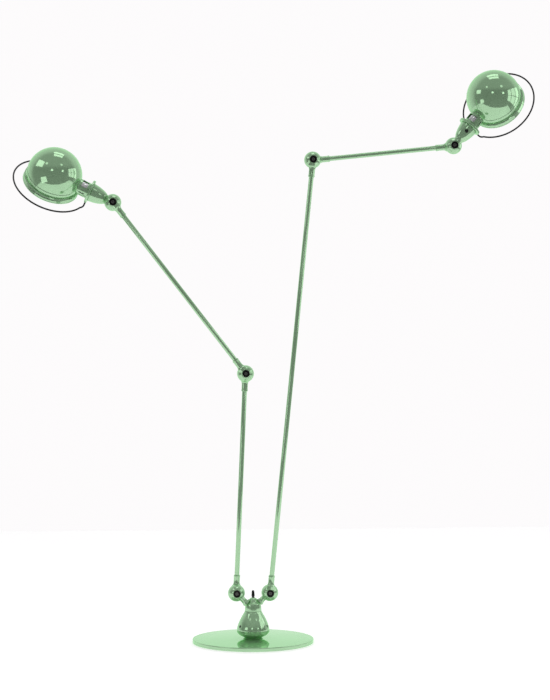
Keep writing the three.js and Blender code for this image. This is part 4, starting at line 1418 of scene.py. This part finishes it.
def light_panel(name, place, target, size, glow, shape="RECTANGLE"):
    """A panel that glows evenly towards a target."""
    data = bpy.data.lights.new(name, "AREA")
    data.shape = shape
    data.size, data.size_y = size
    area = size[0] * size[1] * (math.pi / 4 if shape == "DISK" else 1)
    data.energy = glow * math.pi * area
    light = bpy.data.objects.new(name, data)
    bpy.context.scene.collection.objects.link(light)
    direction = Vector(target) - Vector(place)
    light.matrix_world = Matrix.Translation(place) @ direction.to_track_quat("-Z", "Y").to_matrix().to_4x4()
    light.visible_camera = False
    return light


def make_lights():
    """Two overhead strips, window panes to the right, two panels to the left and small far lamps."""
    for name, across in (("overhead_strip_near", -0.62), ("overhead_strip_far", 0.62)):
        light_panel(name, (0.52, across, 6.0), (0.52, across, 0), (2.3, 0.95), 1.35)
    for column in range(3):
        for row in range(2):
            place = (2.45, -1.22 + column * 0.8, 1.2 + row * 0.78)
            light_panel(f"window_pane_{column}_{row}", place, (0, place[1], place[2]), (0.7, 0.72), 1.15)
    light_panel("left_panel_high", (-1.7, -0.47, 2.2), (0, 0, 1.3), (0.9, 0.6), 1.25)
    light_panel("left_panel_low", (-1.57, -1.06, 0.64), (-0.4, 0, 1.2), (0.7, 0.6), 1.2)
    for number, (x, y, z, glow) in enumerate(FAR_LAMPS):
        place = Vector((x, y, z)) * FAR_LAMP_DISTANCE + Vector((0, 0, FAR_LAMP_TARGET))
        light_panel(f"far_lamp_{number}", place, (0, 0, FAR_LAMP_TARGET), (1.05, 1.05), glow, "DISK")


def make_world():
    """Near-white all round to the eye; in reflections, a white backdrop, a grey ceiling and a dim room."""
    world = bpy.data.worlds.new("studio")
    bpy.context.scene.world = world
    world.use_nodes = True
    world.node_tree.nodes.clear()
    graph = Graph(world.node_tree)
    x, y, z = graph.parts(graph.node("ShaderNodeTexCoord").outputs["Generated"])
    backdrop = graph.step(y + x * 0.05, -0.05, 0.4) * (0.55 + 0.45 * graph.step(y, 0.35, 0.9))
    ceiling = graph.step(z, 0.3, 0.6)
    room = graph.mix(ceiling, (0.20, 0.20, 0.20, 1), (0.38, 0.38, 0.38, 1))
    around = graph.mix(backdrop, room, (1.0, 1.0, 1.0, 1))
    seen = graph.node("ShaderNodeLightPath").outputs["Is Camera Ray"]
    sky = graph.node(
        "ShaderNodeBackground", inputs={"Color": graph.mix(seen, around, (0.982, 0.968, 0.974, 1))}
    )
    graph.node("ShaderNodeOutputWorld", inputs={"Surface": sky.outputs[0]})


make_base_plate()
make_foot_pad()
make_bowl()
make_bell()
make_pear_screws()
make_grommet()
make_cap()
make_lever()
for arm, first_side in (("left", -1), ("right", 1)):
    make_arm(arm, first_side)
    make_head(arm, -first_side)
coat_hidden_pieces()
make_camera()
make_floor()
make_lights()
make_world()
bpy.context.scene.view_settings.view_transform = "Standard"
